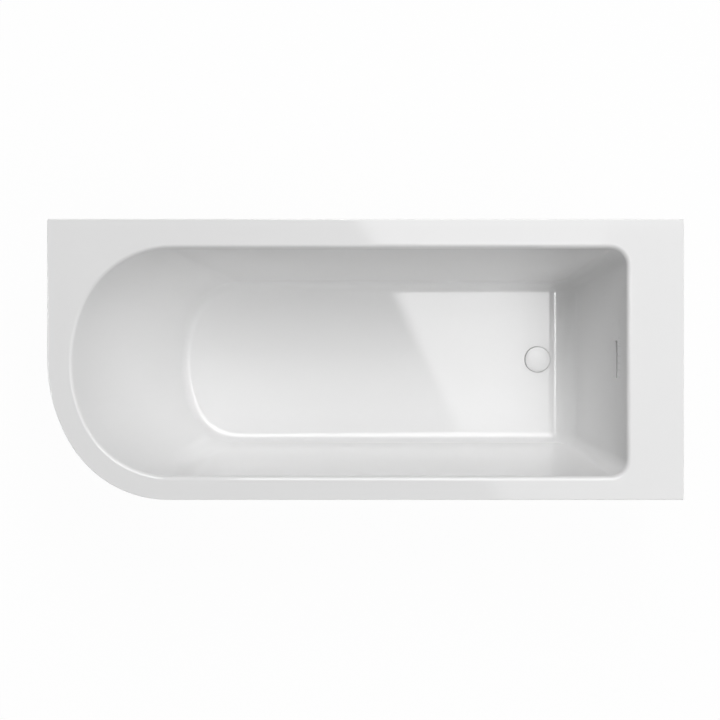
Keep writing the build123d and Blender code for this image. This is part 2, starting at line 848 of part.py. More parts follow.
def make_body_seal():
    """Washer between the shell's underside and the waste body."""
    bottom = body_top + bond_gap
    outer = body_radius + body_seal_overhang
    return ring(outer, tail_radius + washer_bore_gap, bottom, bottom + washer_thickness, waste_x)


def make_click_cartridge():
    """Sleeve of the push mechanism, hung in the cross bars."""
    bottom = cartridge_top - cartridge_length
    sleeve = disc(cartridge_radius, bottom, cartridge_top, waste_x)
    sleeve += disc(cartridge_head_radius, spider_top + bond_gap, cartridge_top, waste_x)
    return sleeve - disc(stem_radius + running_gap, bottom + cartridge_end_wall, rim_top, waste_x)


def make_plug_stem():
    """Rod that carries the cover and stays in the cartridge when the cover is up."""
    bottom = cartridge_top - stem_in_sleeve - plug_travel
    return disc(stem_radius, bottom, cover_bottom + stem_in_cover, waste_x)


def make_plug_cap():
    """Round flat cover with a softly rounded edge, and a hub under it for the stem."""
    top = cover_bottom + cover_height
    round_start = cover_radius - cover_edge_round
    round_end = top - cover_edge_round
    bend = cover_edge_round * (1 - sqrt(0.5))
    middle = (cover_radius - bend, top - bend)
    edge = ThreePointArc((round_start, top), middle, (cover_radius, round_end))
    sides = Polyline((cover_radius, round_end), (cover_radius, cover_bottom), (0, cover_bottom))
    lid = Polyline((0, cover_bottom), (0, top), (round_start, top))
    cover = revolve(make_face(Plane.XZ * (edge + sides + lid)), Axis.Z)
    cover += disc(cover_hub_radius, cover_bottom - cover_hub_depth, cover_bottom)
    cover -= disc(stem_radius + running_gap, 0, cover_bottom + stem_in_cover + bond_gap)
    return Pos(waste_x, 0, 0) * cover


def make_plug_seal():
    """Rubber ring round the cover's hub, bevelled to meet the throat."""
    top = cover_bottom - bond_gap
    inner = cover_hub_radius + bond_gap
    profile = [
        (inner, top),
        (plug_seal_radius, top),
        (plug_seal_radius - plug_seal_bevel, top - plug_seal_height),
        (inner, top - plug_seal_height),
    ]
    return turned(profile, waste_x)


def make_waste_body():
    """Cup under the floor that the tail screws into, with the hose port and the trap's neck."""
    profile = [
        (tail_radius + running_gap, body_top),
        (body_radius, body_top),
        (body_radius, body_bottom + body_foot_bevel),
        (neck_radius + body_foot_step, body_bottom),
        (neck_radius, body_bottom),
        (neck_radius, neck_bottom),
        (neck_bore_radius, neck_bottom),
        (neck_bore_radius, body_bottom + body_floor_wall),
        (body_cavity_radius, body_bottom + body_floor_wall + body_foot_bevel),
        (body_cavity_radius, thread_bottom),
        (tail_radius + running_gap, thread_bottom),
    ]
    body = turned(profile, waste_x)
    along = Pos(waste_x, 0, port_level) * Rot(0, 90, 0)
    start = body_radius - spigot_root
    collar_end = body_radius + port_collar_reach
    spigot_end = collar_end + spigot_length
    body += along * disc(port_collar_radius, start, collar_end)
    body += along * disc(spigot_radius, start, spigot_end)
    return body - along * disc(spigot_bore_radius, spigot_root, spigot_end + overcut)


# Trap
neck_bottom = body_bottom - neck_length
trap_top = neck_bottom - 2 * bond_gap - washer_thickness
trap_low = trap_clear_of_floor + trap_tube_radius
trap_collar_radius = neck_radius - trap_collar_gap
outlet_level = trap_low + trap_outlet_rise
outlet_socket_start = trap_bend_width + trap_bend_radius + outlet_straight
outlet_mouth = outlet_socket_start + outlet_socket_depth


def ribbed_ring(outer_radius, inner_radius, bottom, top):
    """A hand nut: a ring with grip ribs."""
    nut = disc(outer_radius - nut_rib_height, bottom, top)
    half = nut_rib_width / 2
    for i in range(nut_ribs):
        rib = bar(outer_radius - 2 * nut_rib_height, outer_radius, -half, half, bottom, top)
        nut += Rot(0, 0, 360 / nut_ribs * i) * rib
    return nut - disc(inner_radius, bottom - overcut, top + overcut)


def make_trap_inlet_nut():
    """Hand nut that draws the trap's collar up to the neck."""
    collar_bottom = trap_top - trap_collar_height
    bottom = collar_bottom - bond_gap - nut_lip
    outer = neck_radius + nut_wall
    nut = ribbed_ring(outer, trap_tube_radius + panel_gap, bottom, bottom + inlet_nut_height)
    nut -= disc(neck_radius + running_gap, collar_bottom - bond_gap, rim_top)
    return Pos(waste_x, 0, 0) * nut


def make_trap_inlet_washer():
    """Flat washer between the neck and the trap's collar."""
    bottom = trap_top + bond_gap
    inner = trap_tube_bore_radius + washer_bore_gap
    return ring(trap_collar_radius, inner, bottom, bottom + washer_thickness, waste_x)


def trap_path():
    """Centre line of the trap: down, round the bend, up and out towards the back wall."""
    return FilletPolyline(
        (waste_x, 0, trap_top),
        (waste_x, 0, trap_low),
        (waste_x, trap_bend_width, trap_low),
        (waste_x, trap_bend_width, outlet_level),
        (waste_x, outlet_socket_start + overcut, outlet_level),
        radius=trap_bend_radius,
    )


def swept_tube(path, radius):
    """A round bar along a path."""
    start = Plane(origin=path @ 0, z_dir=path % 0)
    return sweep(start * Circle(radius), path=path)


def outlet_disc(radius, start, end):
    """A cylinder about the outlet's axis, between two distances from the waste's axis."""
    along = Pos(waste_x, 0, outlet_level) * Rot(-90, 0, 0)
    return along * disc(radius, start, end)


def make_trap_body():
    """Bent tube with a collar, an outlet socket and a cleaning eye at its lowest point."""
    path = trap_path()
    eye_y = trap_bend_width / 2
    trap = swept_tube(path, trap_tube_radius)
    trap += disc(trap_collar_radius, trap_top - trap_collar_height, trap_top, waste_x)
    trap += outlet_disc(outlet_socket_radius, outlet_socket_start - outlet_straight, outlet_mouth)
    trap += disc(eye_radius - eye_cap_overhang, trap_clear_of_floor - eye_drop, trap_low, waste_x, eye_y)
    trap -= swept_tube(path, trap_tube_bore_radius)
    trap -= disc(eye_bore_radius, 0, trap_low, waste_x, eye_y)
    socket = outlet_pipe_radius + outlet_fit
    return trap - outlet_disc(socket, outlet_socket_start, outlet_mouth + overcut)


def make_trap_cleaning_cap():
    """Screw cap of the cleaning eye."""
    seat = trap_clear_of_floor - eye_drop - bond_gap
    eye_y = trap_bend_width / 2
    cap = disc(eye_radius, seat - eye_cap_height, seat, waste_x, eye_y)
    cap = chamfer(cap.edges().sort_by(Axis.Z)[0], eye_cap_overhang)
    return cap + disc(eye_bore_radius - running_gap, seat, seat + eye_cap_grip, waste_x, eye_y)


def make_outlet_seal():
    """Rubber ring between the socket's mouth and the outlet nut."""
    start = outlet_mouth + bond_gap
    end = start + outlet_seal_length
    seal = outlet_disc(outlet_socket_radius - outlet_seal_inset, start, end)
    return seal - outlet_disc(outlet_pipe_radius + outlet_seal_slack, 0, end + overcut)


def make_outlet_nut():
    """Hand nut over the outlet socket."""
    lip_start = outlet_mouth + 2 * bond_gap + outlet_seal_length
    end = lip_start + nut_lip
    outer = outlet_socket_radius + nut_wall
    bore = outlet_pipe_radius + outlet_nut_bore_gap
    nut = ribbed_ring(outer, bore, end - outlet_nut_length, end)
    nut -= disc(outlet_socket_radius + running_gap, 0, lip_start)
    return Pos(waste_x, 0, outlet_level) * Rot(-90, 0, 0) * nut


# Overflow
box_near = shell + 2 * bond_gap + gasket_thickness
box_far = box_near + box_depth
hose_x = slot_x + (box_near + box_flange_thickness + hose_from_box_face) * cos(wall_slope["right"])
box_spigot_top = slot_level - slot_height
box_spigot_bottom = box_spigot_top - box_spigot_length


def make_overflow_gasket():
    """Gasket round the slot, behind the end wall."""
    near = shell + bond_gap
    far = near + gasket_thickness
    outer = slot_block(gasket_border, near, far, gasket_corner_radius)
    return outer - slot_block(gasket_slot_gap, 0, box_near)


def make_overflow_box():
    """Shallow box bonded behind the slot, with a spigot straight down for the hose."""
    flange_far = box_near + box_flange_thickness
    box = slot_block(box_flange_border, box_near, flange_far, gasket_corner_radius)
    box += slot_block(box_border, box_near, box_far, box_corner_radius)
    box += disc(spigot_radius, box_spigot_bottom, box_spigot_top, hose_x)
    box += disc(port_collar_radius, box_spigot_top - box_collar_length, box_spigot_top, hose_x)
    box -= slot_block(box_border - box_wall, box_near - overcut, box_far - box_wall)
    return box - disc(spigot_bore_radius, box_spigot_bottom - overcut, box_spigot_top, hose_x)


hose_start_x = waste_x + body_radius + port_collar_reach + bond_gap
hose_top = box_spigot_top - box_collar_length - bond_gap
hose_bend_radius = hose_x - hose_start_x - hose_cuff_length


def hose_path():
    """Centre line of the hose: out of the waste body, one wide bend, straight up to the overflow."""
    return FilletPolyline(
        (hose_start_x, 0, port_level),
        (hose_x, 0, port_level),
        (hose_x, 0, hose_top),
        radius=hose_bend_radius,
    )


def hose_circle(path, distance, radius):
    """A circle square to the hose at a distance along it, on a steady X axis."""
    share = distance / path.length
    centre = path.position_at(share)
    plane = Plane(origin=centre, x_dir=(0, 1, 0), z_dir=path.tangent_at(share))
    return plane * Circle(radius)


def make_overflow_hose():
    """Corrugated hose: four circles to each rib, plain cuffs at the ends, and a true bore."""
    path = hose_path()
    ribbed = path.length - 2 * hose_cuff_length
    ribs = int(ribbed / hose_rib_pitch)
    pitch = ribbed / ribs
    flank = pitch * hose_flank_share
    crest = pitch * hose_crest_share
    cuff_end = hose_cuff_length - overcut
    circles = [hose_circle(path, along, hose_crest_radius) for along in (0, cuff_end)]
    for i in range(ribs):
        middle = hose_cuff_length + pitch * (i + 0.5)
        rib_profile = [
            (-crest / 2 - flank, hose_valley_radius),
            (-crest / 2, hose_crest_radius),
            (crest / 2, hose_crest_radius),
            (crest / 2 + flank, hose_valley_radius),
        ]
        circles += [hose_circle(path, middle + along, radius) for along, radius in rib_profile]
    end = path.length
    circles += [hose_circle(path, along, hose_crest_radius) for along in (end - cuff_end, end)]
    hose = loft(circles, ruled=True) - swept_tube(path, hose_bore_radius)
    flank_area = (hose_crest_radius**2 + hose_crest_radius * hose_valley_radius + hose_valley_radius**2) / 3
    valley_share = 1 - hose_crest_share - 2 * hose_flank_share
    mean_area = hose_crest_share * hose_crest_radius**2 + valley_share * hose_valley_radius**2
    mean_area += 2 * hose_flank_share * flank_area
    expected = pi * mean_area * ribbed + 2 * pi * hose_crest_radius**2 * hose_cuff_length
    expected -= pi * hose_bore_radius**2 * path.length
    print("hose: length", round(path.length), "bend radius", round(hose_bend_radius), "ribs", ribs)
    print("hose: volume", round(hose.volume), "against section times length", round(expected))
    return hose


def hose_clip(place):
    """Worm-drive clip round a cuff, about the local Z axis."""
    inner = hose_crest_radius + bond_gap
    band = ring(inner + clip_thickness, inner, -clip_width / 2, clip_width / 2)
    screw_y = inner + clip_screw_radius
    housing = Pos(0, screw_y, 0) * Rot(0, 90, 0) * Cylinder(clip_screw_radius, clip_screw_length)
    housing -= disc(inner + clip_thickness / 2, -clip_width, clip_width)
    return place * (band + housing)


def make_hose_clips():
    """A clip at each end of the hose."""
    inset = hose_cuff_length / 2
    low = Pos(hose_start_x + inset, 0, port_level) * Rot(0, 90, 0)
    high = Pos(hose_x, 0, hose_top - inset)
    return [hose_clip(low), hose_clip(high)]


# Writing the pieces
def write(name, solids):
    """One STEP for each node, a single solid or a group of alike ones."""
    shape = solids
    if isinstance(solids, list):
        shape = Compound(children=[Solid(piece.solid().wrapped) for piece in solids])
    export_step(shape, "parts/" + name + ".step")


def make_all():
    """Every node by name."""
    nodes = {
        "tub_shell": make_tub_shell(),
        "skirt_panel": make_skirt_panel(),
        "base_board": make_base_board(),
        "rim_batten_back": make_back_batten(),
        "rim_batten_front": make_front_batten(),
        "deck_batten": make_deck_batten(),
        "side_rail_front": make_side_rail(-1),
        "side_rail_back": make_side_rail(1),
        "rail_bolts": make_rail_bolts(),
        "board_screws": make_board_screws(),
        "foot_nuts": make_foot_nuts(),
        "bracket_screws": make_bracket_screws(),
        "waste_flange": make_waste_flange(),
        "flange_seal": make_flange_seal(),
        "body_seal": make_body_seal(),
        "click_cartridge": make_click_cartridge(),
        "plug_cap": make_plug_cap(),
        "plug_stem": make_plug_stem(),
        "plug_seal": make_plug_seal(),
        "waste_body": make_waste_body(),
        "trap_inlet_nut": make_trap_inlet_nut(),
        "trap_inlet_washer": make_trap_inlet_washer(),
        "trap_body": make_trap_body(),
        "trap_cleaning_cap": make_trap_cleaning_cap(),
        "outlet_seal": make_outlet_seal(),
        "outlet_nut": make_outlet_nut(),
        "overflow_gasket": make_overflow_gasket(),
        "overflow_box": make_overflow_box(),
        "overflow_hose": make_overflow_hose(),
        "hose_clips": make_hose_clips(),
    }
    for name, x in zip(("left", "middle", "right"), cross_rail_x):
        nodes["cross_rail_" + name] = make_cross_rail(x)
        nodes["panel_strap_" + name] = make_panel_strap(x)
    for number, (x, y) in enumerate(foot_places(), 1):
        nodes["foot_stud_" + str(number)] = make_foot_stud(x, y)
        nodes["foot_pad_" + str(number)] = make_foot_pad(x, y)
    for number, place in enumerate(bracket_places(), 1):
        nodes["wall_bracket_" + str(number)] = make_wall_bracket(*place)
    return nodes


os.makedirs("parts", exist_ok=True)
for node_name, node_shape in make_all().items():
    write(node_name, node_shape)
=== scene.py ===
# %% [markdown]
# # A back-to-wall corner bathtub, seen from straight above
#
# The bath is one sheet of white acrylic that was heated, drawn into a mould and stiffened from behind with
# glass fibre. A curved skirt closes its two open sides. Under it stand a steel cradle on screwed feet, the
# waste with its trap, and the overflow hose.
# The CAD model says where every piece is and how large it is. It is loaded here as a frame that stays as it
# is: new surfaces stand in for some of its pieces, and the others keep their shape and get a finish.

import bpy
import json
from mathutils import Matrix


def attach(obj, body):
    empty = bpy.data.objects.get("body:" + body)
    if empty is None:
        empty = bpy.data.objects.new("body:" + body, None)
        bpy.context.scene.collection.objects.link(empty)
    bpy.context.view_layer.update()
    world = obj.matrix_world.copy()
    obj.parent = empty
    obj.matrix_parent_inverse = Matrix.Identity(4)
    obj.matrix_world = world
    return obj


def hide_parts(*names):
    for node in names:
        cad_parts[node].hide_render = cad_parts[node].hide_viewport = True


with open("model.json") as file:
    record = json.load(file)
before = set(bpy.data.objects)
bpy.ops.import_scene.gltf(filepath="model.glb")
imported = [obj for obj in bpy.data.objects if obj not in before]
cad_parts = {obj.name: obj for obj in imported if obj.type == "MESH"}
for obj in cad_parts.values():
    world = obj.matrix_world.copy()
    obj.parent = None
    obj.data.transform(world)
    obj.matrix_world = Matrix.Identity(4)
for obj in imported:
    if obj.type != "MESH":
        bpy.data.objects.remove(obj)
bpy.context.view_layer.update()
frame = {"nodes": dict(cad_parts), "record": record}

import json

import bpy
import numpy as np
from mathutils import Vector
from mathutils.geometry import tessellate_polygon

# %% [markdown]
# ## Gathering a surface
# Every new piece here is a closed surface, worked out as arrays of points. Blender could model them by hand,
# but a bath is drawn by its radii and slopes, so formulas keep each wall true to the CAD model. The small class
# below collects blocks of points, joins neighbouring rows with quads and closes flat regions with triangles.

# %% A skin of points and faces
class Skin:
    """One piece's surface: points as one array, faces as rows of point numbers, a finish for each face."""

    def __init__(self):
        self.points = np.empty((0, 3))
        self.faces = []
        self.finish = []

    def add(self, points):
        """Keeps points of shape (..., 3) and returns their numbers in that shape."""
        points = np.asarray(points, float)
        numbers = len(self.points) + np.arange(points.size // 3)
        self.points = np.concatenate([self.points, points.reshape(-1, 3)])
        return numbers.reshape(points.shape[:-1])

    def keep(self, faces, finish, flip=False):
        """Keeps faces given as an array of point numbers, turned over where flip is true."""
        faces = faces.reshape(-1, faces.shape[-1])
        self.faces += (faces[:, ::-1] if flip else faces).tolist()
        self.finish += [finish] * len(faces)

    def wrap(self, rows, finish=0, closed=True, flip=False, window=None):
        """Quads between each row of numbers and the next: point, neighbour, neighbour below, point below.
        A window (first row, last row, first column, last column) is left open."""
        beside = np.roll(rows, -1, axis=1)
        quads = np.stack([rows[:-1], beside[:-1], beside[1:], rows[1:]], axis=-1)
        if not closed:
            quads = quads[:, :-1]
        shown = np.ones(quads.shape[:2], bool)
        if window:
            shown[window[0] : window[1], window[2] : window[3]] = False
        self.keep(quads[shown], finish, flip)

    def fill(self, loops, facing, finish=0):
        """Triangles over a flat region inside a loop, and outside a second loop within it, facing one way."""
        facing = np.array(facing, float)
        for part in loops if len(loops) == 1 else self.halves(*loops, facing):
            corners = [Vector(point) for point in self.points[part]]
            numbers = part[np.array(tessellate_polygon([corners]))]
            a, b, c = (self.points[numbers[:, i]] for i in range(3))
            self.keep(numbers, finish, flip=np.cross(b - a, c - a).sum(0) @ facing < 0)

    def halves(self, outer, inner, facing):
        """Cuts the ring between two loops into two plain polygons: one cut at each of the inner loop's two
        furthest points in Y, straight to the nearest point of the outer loop."""
        def turning(loop):
            arm = self.points[loop] - self.points[loop].mean(0)
            return np.cross(arm, np.roll(arm, -1, axis=0)).sum(0) @ facing

        def arc(loop, first, last):
            return np.roll(loop, -first)[: (last - first) % len(loop) + 1]

        if turning(outer) * turning(inner) < 0:
            inner = inner[::-1]
        near = self.points[inner]
        cuts = [near[:, 1].argmax(), near[:, 1].argmin()]
        ends = [np.linalg.norm(self.points[outer] - near[cut], axis=1).argmin() for cut in cuts]
        return [
            np.concatenate([arc(outer, ends[i], ends[1 - i]), arc(inner, cuts[i], cuts[1 - i])[::-1]])
            for i in (0, 1)
        ]

    def piece(self, name, body, nodes, materials, sharp=35.0):
        """Makes the mesh: smooth but for edges sharper than an angle, riding on a body, standing for nodes."""
        mesh = bpy.data.meshes.new(name)
        mesh.from_pydata(self.points.tolist(), [], self.faces)
        for material in materials:
            mesh.materials.append(material)
        mesh.polygons.foreach_set("material_index", self.finish)
        mesh.shade_smooth()
        mesh.set_sharp_from_angle(angle=np.radians(sharp))
        made = bpy.data.objects.new(name, mesh)
        bpy.context.scene.collection.objects.link(made)
        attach(made, body)
        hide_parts(*nodes)
        print(name + ":", len(self.points), "points,", len(self.faces), "faces")
        return made


print("an empty skin holds", len(Skin().points), "points")

# %% [markdown]
# ## The bowl's measures
# A drawn acrylic bowl has four sides that lean by different amounts, a large radius where each meets the
# floor, and a rounded edge where it meets the rim. The long backrest at the left leans most. The numbers are
# the CAD model's own, in metres.

# %% Sizes of the bath
length, width, rim_top = 1.700, 0.750, 0.600
bowl_depth = 0.430
floor_level = rim_top - bowl_depth
rim_width = {"left": 0.064, "right": 0.151, "front": 0.062, "back": 0.0775}
wall_run = {"left": 0.262, "right": 0.108, "front": 0.077, "back": 0.0775}
cove_radius = {"left": 0.040, "right": 0.083, "front": 0.032, "back": 0.032}
outward = {"left": -1, "right": 1, "front": -1, "back": 1}
half_size = {"left": length / 2, "right": length / 2, "front": width / 2, "back": width / 2}
wall_foot = {s: outward[s] * (half_size[s] - rim_width[s] - wall_run[s]) for s in outward}
slope = {s: np.arctan(wall_run[s] / bowl_depth) for s in outward}
rim_round = 0.013
end_arch = (0.345, 0.386)
end_shoulder = (0.155, 0.253)
bowl_corner = (0.030, 0.045)
least_corner = 0.006
shell = 0.006
waste_x = wall_foot["right"] - 0.093
floor_fall = 8 / 1100
hold = 0.0015
seat_radius, seat_edge, boss_radius = 0.0365, 0.0012, 0.046
print("wall feet:", wall_foot, "waste at x", round(waste_x, 4))

# %% [markdown]
# ## The wall's profile
# Cut through one wall, the shell runs flat along the floor, bends up round a cove, climbs straight and bends
# out over the rounded edge. The back of the sheet is the same line moved out by its thickness, so one formula
# with a growth gives both faces.

# %% Offset of a wall at a height
def wall_offset(side, height, grow):
    """How far the surface stands outside the wall's line at a height. In the straight part this is the growth
    over the cosine of the lean. In the cove and in the rounded edge it follows a circle, tangent to the wall
    and to the floor or the rim: the flat's edge, plus or less the circle's reach at that height."""
    lean = slope[side]
    straight = grow / np.cos(lean)
    flat_edge = straight - grow * np.tan(lean)
    touch = np.tan((np.pi / 2 - lean) / 2)
    cove = cove_radius[side] + grow
    rise = height - (floor_level - grow)
    reach = np.sqrt(np.clip(cove**2 - (cove - rise) ** 2, 0, None))
    in_cove = flat_edge - cove * touch + reach - (height - floor_level) * np.tan(lean)
    edge = rim_round - grow
    drop = rim_top - grow - height
    reach = np.sqrt(np.clip(edge**2 - (edge - drop) ** 2, 0, None))
    in_edge = flat_edge + edge * touch - reach + (rim_top - height) * np.tan(lean)
    low = rise < cove * (1 - np.sin(lean))
    high = drop < edge * (1 - np.sin(lean))
    return np.where(low, in_cove, np.where(high, in_edge, straight))


print("cove's edge on the floor, front:", wall_offset("front", np.array([floor_level]), 0.0))

# %% [markdown]
# ## Straight runs and arcs
# A plan is drawn from straight runs and arcs set end to end. Each leaves out its last point, because the next
# one starts there. Points crowd near both ends of a straight run, so that the shading of a long flat face isn't
# pulled by the curve beside it.

# %% Runs and bends
def crowd(count):
    """Shares from 0 towards 1, closer together near both ends: half of one less the cosine of a half turn."""
    return (1 - np.cos(np.pi * np.arange(count) / count)) / 2


def run(start, end, count):
    """Points from start up to, but without, end: start plus the share times the way between."""
    share = crowd(count)
    return np.stack(np.broadcast_arrays(*(a + (b - a) * share for a, b in zip(start, end))), -1)


def bend(centre, radius, first, last, count):
    """Points on an arc from one angle up to, but without, another: centre plus radius times its direction."""
    angle = first + (last - first) * np.arange(count) / count
    return np.stack([centre[0] + radius * np.cos(angle), centre[1] + radius * np.sin(angle)], -1)


print("shares of a run of five:", crowd(5).round(3))

# %% [markdown]
# ## The bowl's plan
# Seen from above, the bowl is a straight end wall with two corners, two long sides, and a round end made of
# three arcs: a shoulder, a wide arch and a shoulder. Each arc ends where the next has the same direction, so
# reflections run on without a kink. Every height has as many points in each arc and run, so that the outlines
# of all heights join up as one grid.

# %% Outline of the bowl at each height
slot_window = 0.062
run_counts = {"end": 8, "window": 40, "side": 26}
bend_counts = {"corner": 16, "shoulder": 40, "arch": 48}


def bowl_ring(share, offset):
    """The outline, one row for each share of the depth. Each side stands at its foot plus its run times the
    share, plus its offset; each radius goes from its floor size to its rim size and takes the offset too."""
    at = {s: wall_foot[s] + outward[s] * (wall_run[s] * share + offset[s]) for s in outward}
    beside = (offset["front"] + offset["back"]) / 2
    arch = end_arch[0] + (end_arch[1] - end_arch[0]) * share + offset["left"]
    shoulder = end_shoulder[0] + (end_shoulder[1] - end_shoulder[0]) * share + beside
    corner = bowl_corner[0] + (bowl_corner[1] - bowl_corner[0]) * share + beside
    corner = np.maximum(corner, least_corner)
    left, right, front, back = (at[s] for s in ("left", "right", "front", "back"))
    middle = (front + back) / 2
    turn = np.arcsin(((back - front) / 2 - shoulder) / (arch - shoulder))
    arch_x = left + arch
    shoulder_x = arch_x - (arch - shoulder) * np.cos(turn)
    quarter = np.pi / 2
    ends, window, sides = (run_counts[k] for k in ("end", "window", "side"))
    corners, shoulders, arches = (bend_counts[k] for k in ("corner", "shoulder", "arch"))
    return np.concatenate([
        run((right, front + corner), (right, -slot_window + 0 * right), ends),
        run((right, -slot_window + 0 * right), (right, slot_window + 0 * right), window),
        run((right, slot_window + 0 * right), (right, back - corner), ends),
        bend((right - corner, back - corner), corner, 0.0, quarter, corners),
        run((right - corner, back), (shoulder_x, back), sides),
        bend((shoulder_x, back - shoulder), shoulder, quarter, np.pi - turn, shoulders),
        bend((arch_x, middle), arch, np.pi - turn, np.pi + turn, arches),
        bend((shoulder_x, front + shoulder), shoulder, np.pi + turn, 3 * quarter, shoulders),
        run((shoulder_x, front), (right - corner, front), sides),
        bend((right - corner, front + corner), corner, 3 * quarter, 4 * quarter, corners),
    ], axis=1)


def tipped(ring, height):
    """The outlines set at their heights and leaned about the waste, more with depth, so that water drains."""
    lean = np.arctan(floor_fall * (rim_top - height) / bowl_depth)
    x = ring[..., 0] - waste_x
    return np.stack([waste_x + x * np.cos(lean), ring[..., 1], height - x * np.sin(lean)], -1)


print("points in the runs:", run_counts, "in the bends:", bend_counts)

# %% [markdown]
# ## Rows from the rim to the floor
# The rows are closest together where the wall bends, and a row is held just beside each bend so that the
# straight part stays straight. Three rows frame the overflow slot, which is cut out of the end wall.

# %% Heights of the rows
slot_level = rim_top - 0.0775
slot_half = (0.050, 0.006)
slot_frame = 0.012
inside_rows, outside_rows = (17, 41), (9, 25)


def bowl_heights(grow, edge_rows, cove_rows):
    """Heights from the top row down, and the numbers of the rows that frame the slot."""
    top, floor = rim_top - grow, floor_level - grow
    edge = rim_round - grow
    widest = max(cove_radius.values()) + grow
    turn = np.pi / 2 - min(slope.values())
    edges = top - edge * (1 - np.cos(np.linspace(0, np.pi / 2, edge_rows)))
    coves = floor + widest * (1 - np.cos(np.linspace(turn, 0, cove_rows)))
    slot = slot_level - grow * np.sin(slope["right"]) + slot_frame * np.array([1, 0, -1])
    upper = np.linspace(edges[-1] - hold, slot[0], 3)[:-1]
    lower = np.linspace(slot[-1], coves[0] + hold, 6)[1:]
    first = len(edges) + len(upper) + 1
    return np.concatenate([edges[:1], edges, upper, slot, lower, coves, coves[-1:]]), (first, first + 2)


print("rows inside the bowl:", len(bowl_heights(0.0, *inside_rows)[0]))

# %% [markdown]
# ## Room for the waste's seat
# The seat of the waste is wider than the flat floor beside it, so it bites into the end wall's cove. A boolean
# cut would leave slivers there. Instead the lowest points of the bowl slide up the cove, just far enough to
# leave the seat's circle free.

# %% Rows that clear the seat
seat_reach = {0.0: seat_radius + seat_edge + hold, shell: boss_radius}
seat_gap, sliding = 0.0005, 0.032


def cove_start(grow):
    """Where the end wall's cove leaves the floor: the wall's foot and its offset, less the lean below it."""
    offset = wall_offset("right", np.array([floor_level - grow]), grow)[0]
    return wall_foot["right"] + offset - grow * np.tan(slope["right"])


def cove_rise(x, grow):
    """How far the end wall's cove has risen: its radius less the height of its circle above the centre."""
    cove = cove_radius["right"] + grow
    return cove - np.sqrt(cove**2 - np.clip(x - cove_start(grow), 0, cove) ** 2)


def clear_seat(ring, height, grow):
    """Slides points up the cove until they clear the seat. In each column the lowest point goes to the seat's
    circle, the furthest that slides stays, and those between keep their shares of the way."""
    x, y = ring[..., 0], ring[..., 1]
    reach = seat_reach[grow] + seat_gap
    first = x[-1]
    least = waste_x + np.sqrt(np.clip(reach**2 - y[-1] ** 2, 0, None))
    last = cove_start(grow) + sliding
    slides = (first > waste_x) & (least > first) & (x < last)
    moved = last - (last - x) * (last - least) / (last - first)
    ring = np.stack([np.where(slides, moved, x), y], -1)
    return ring, np.where(slides, floor_level - grow + cove_rise(moved, grow), height)


print("the end wall's cove starts at x", round(cove_start(0.0), 4))

# %% [markdown]
# ## The bowl's two faces
# Every row is the plan at its own height, so each face of the bowl is one grid of rows by points round. The back
# is the same grid grown by the sheet's thickness, with fewer rows, because it is only seen from below.

# %% The bowl's two faces as grids
def bowl_face(grow, edge_rows, cove_rows):
    """The grid of one face of the bowl, and its window of rows and columns round the slot. The first row lies
    on the rim and the last on the floor, each held a little beside the bend."""
    heights, slot_rows = bowl_heights(grow, edge_rows, cove_rows)
    height = heights[:, None]
    held = np.zeros_like(height)
    held[[0, -1], 0] = hold, -hold
    offset = {s: wall_offset(s, height, grow) + held for s in outward}
    ring, height = clear_seat(bowl_ring((height - floor_level) / bowl_depth, offset), height, grow)
    first = run_counts["end"]
    return tipped(ring, height), (*slot_rows, first, first + run_counts["window"])


bowl_inside, slot_hole = bowl_face(0.0, *inside_rows)
bowl_outside, slot_back = bowl_face(shell, *outside_rows)
print("bowl grids:", bowl_inside.shape, bowl_outside.shape, "slot window:", slot_hole)

# %% [markdown]
# ## The rim and its turned-down lip
# The rim is square where it meets the walls and has one large curve at the open corner. Its edge rolls over
# into a lip 30 mm deep, which stiffens the sheet and hides the top of the skirt. Insetting the plan moves
# every side in and takes the same amount off every radius.

# %% Plan of the rim
curve_end, curve_shoulder = 0.441, 0.304
square_corner = 0.004
sharpest = 0.0003


def open_sides(inset, back_end, right_end):
    """The sides that don't stand at a wall: down the left, round the end arc and the shoulder, along the
    front. Each side moves in by the inset, and each radius is smaller by it."""
    left, front = -length / 2 + inset, -width / 2 + inset
    end, shoulder = curve_end - inset, curve_shoulder - inset
    turn = np.arcsin((width / 2 - curve_shoulder) / (curve_end - curve_shoulder))
    end_x = left + end
    shoulder_x = end_x - (end - shoulder) * np.cos(turn)
    return [
        run((left, back_end), (left, 0 * inset), 12),
        bend((end_x, 0 * inset), end, np.pi, np.pi + turn, 20),
        bend((shoulder_x, front + shoulder), shoulder, np.pi + turn, 1.5 * np.pi, 44),
        run((shoulder_x, front), (right_end, front), 20),
    ]


def rim_ring(inset):
    """The rim's whole plan, set in on every side."""
    left, right = -length / 2 + inset, length / 2 - inset
    front, back = -width / 2 + inset, width / 2 - inset
    corner = np.maximum(square_corner - inset, sharpest)
    return np.concatenate([
        run((right, front + corner), (right, back - corner), 12),
        bend((right - corner, back - corner), corner, 0.0, np.pi / 2, 6),
        run((right - corner, back), (left + corner, back), 16),
        bend((left + corner, back - corner), corner, np.pi / 2, np.pi, 6),
        *open_sides(inset, back - corner, right - corner),
        bend((right - corner, front + corner), corner, 1.5 * np.pi, 2 * np.pi, 6),
    ], axis=1)


def at_height(ring, height):
    """Plan points with a height given to each row."""
    return np.concatenate([ring, np.broadcast_to(height[..., None], ring.shape[:-1] + (1,))], -1)


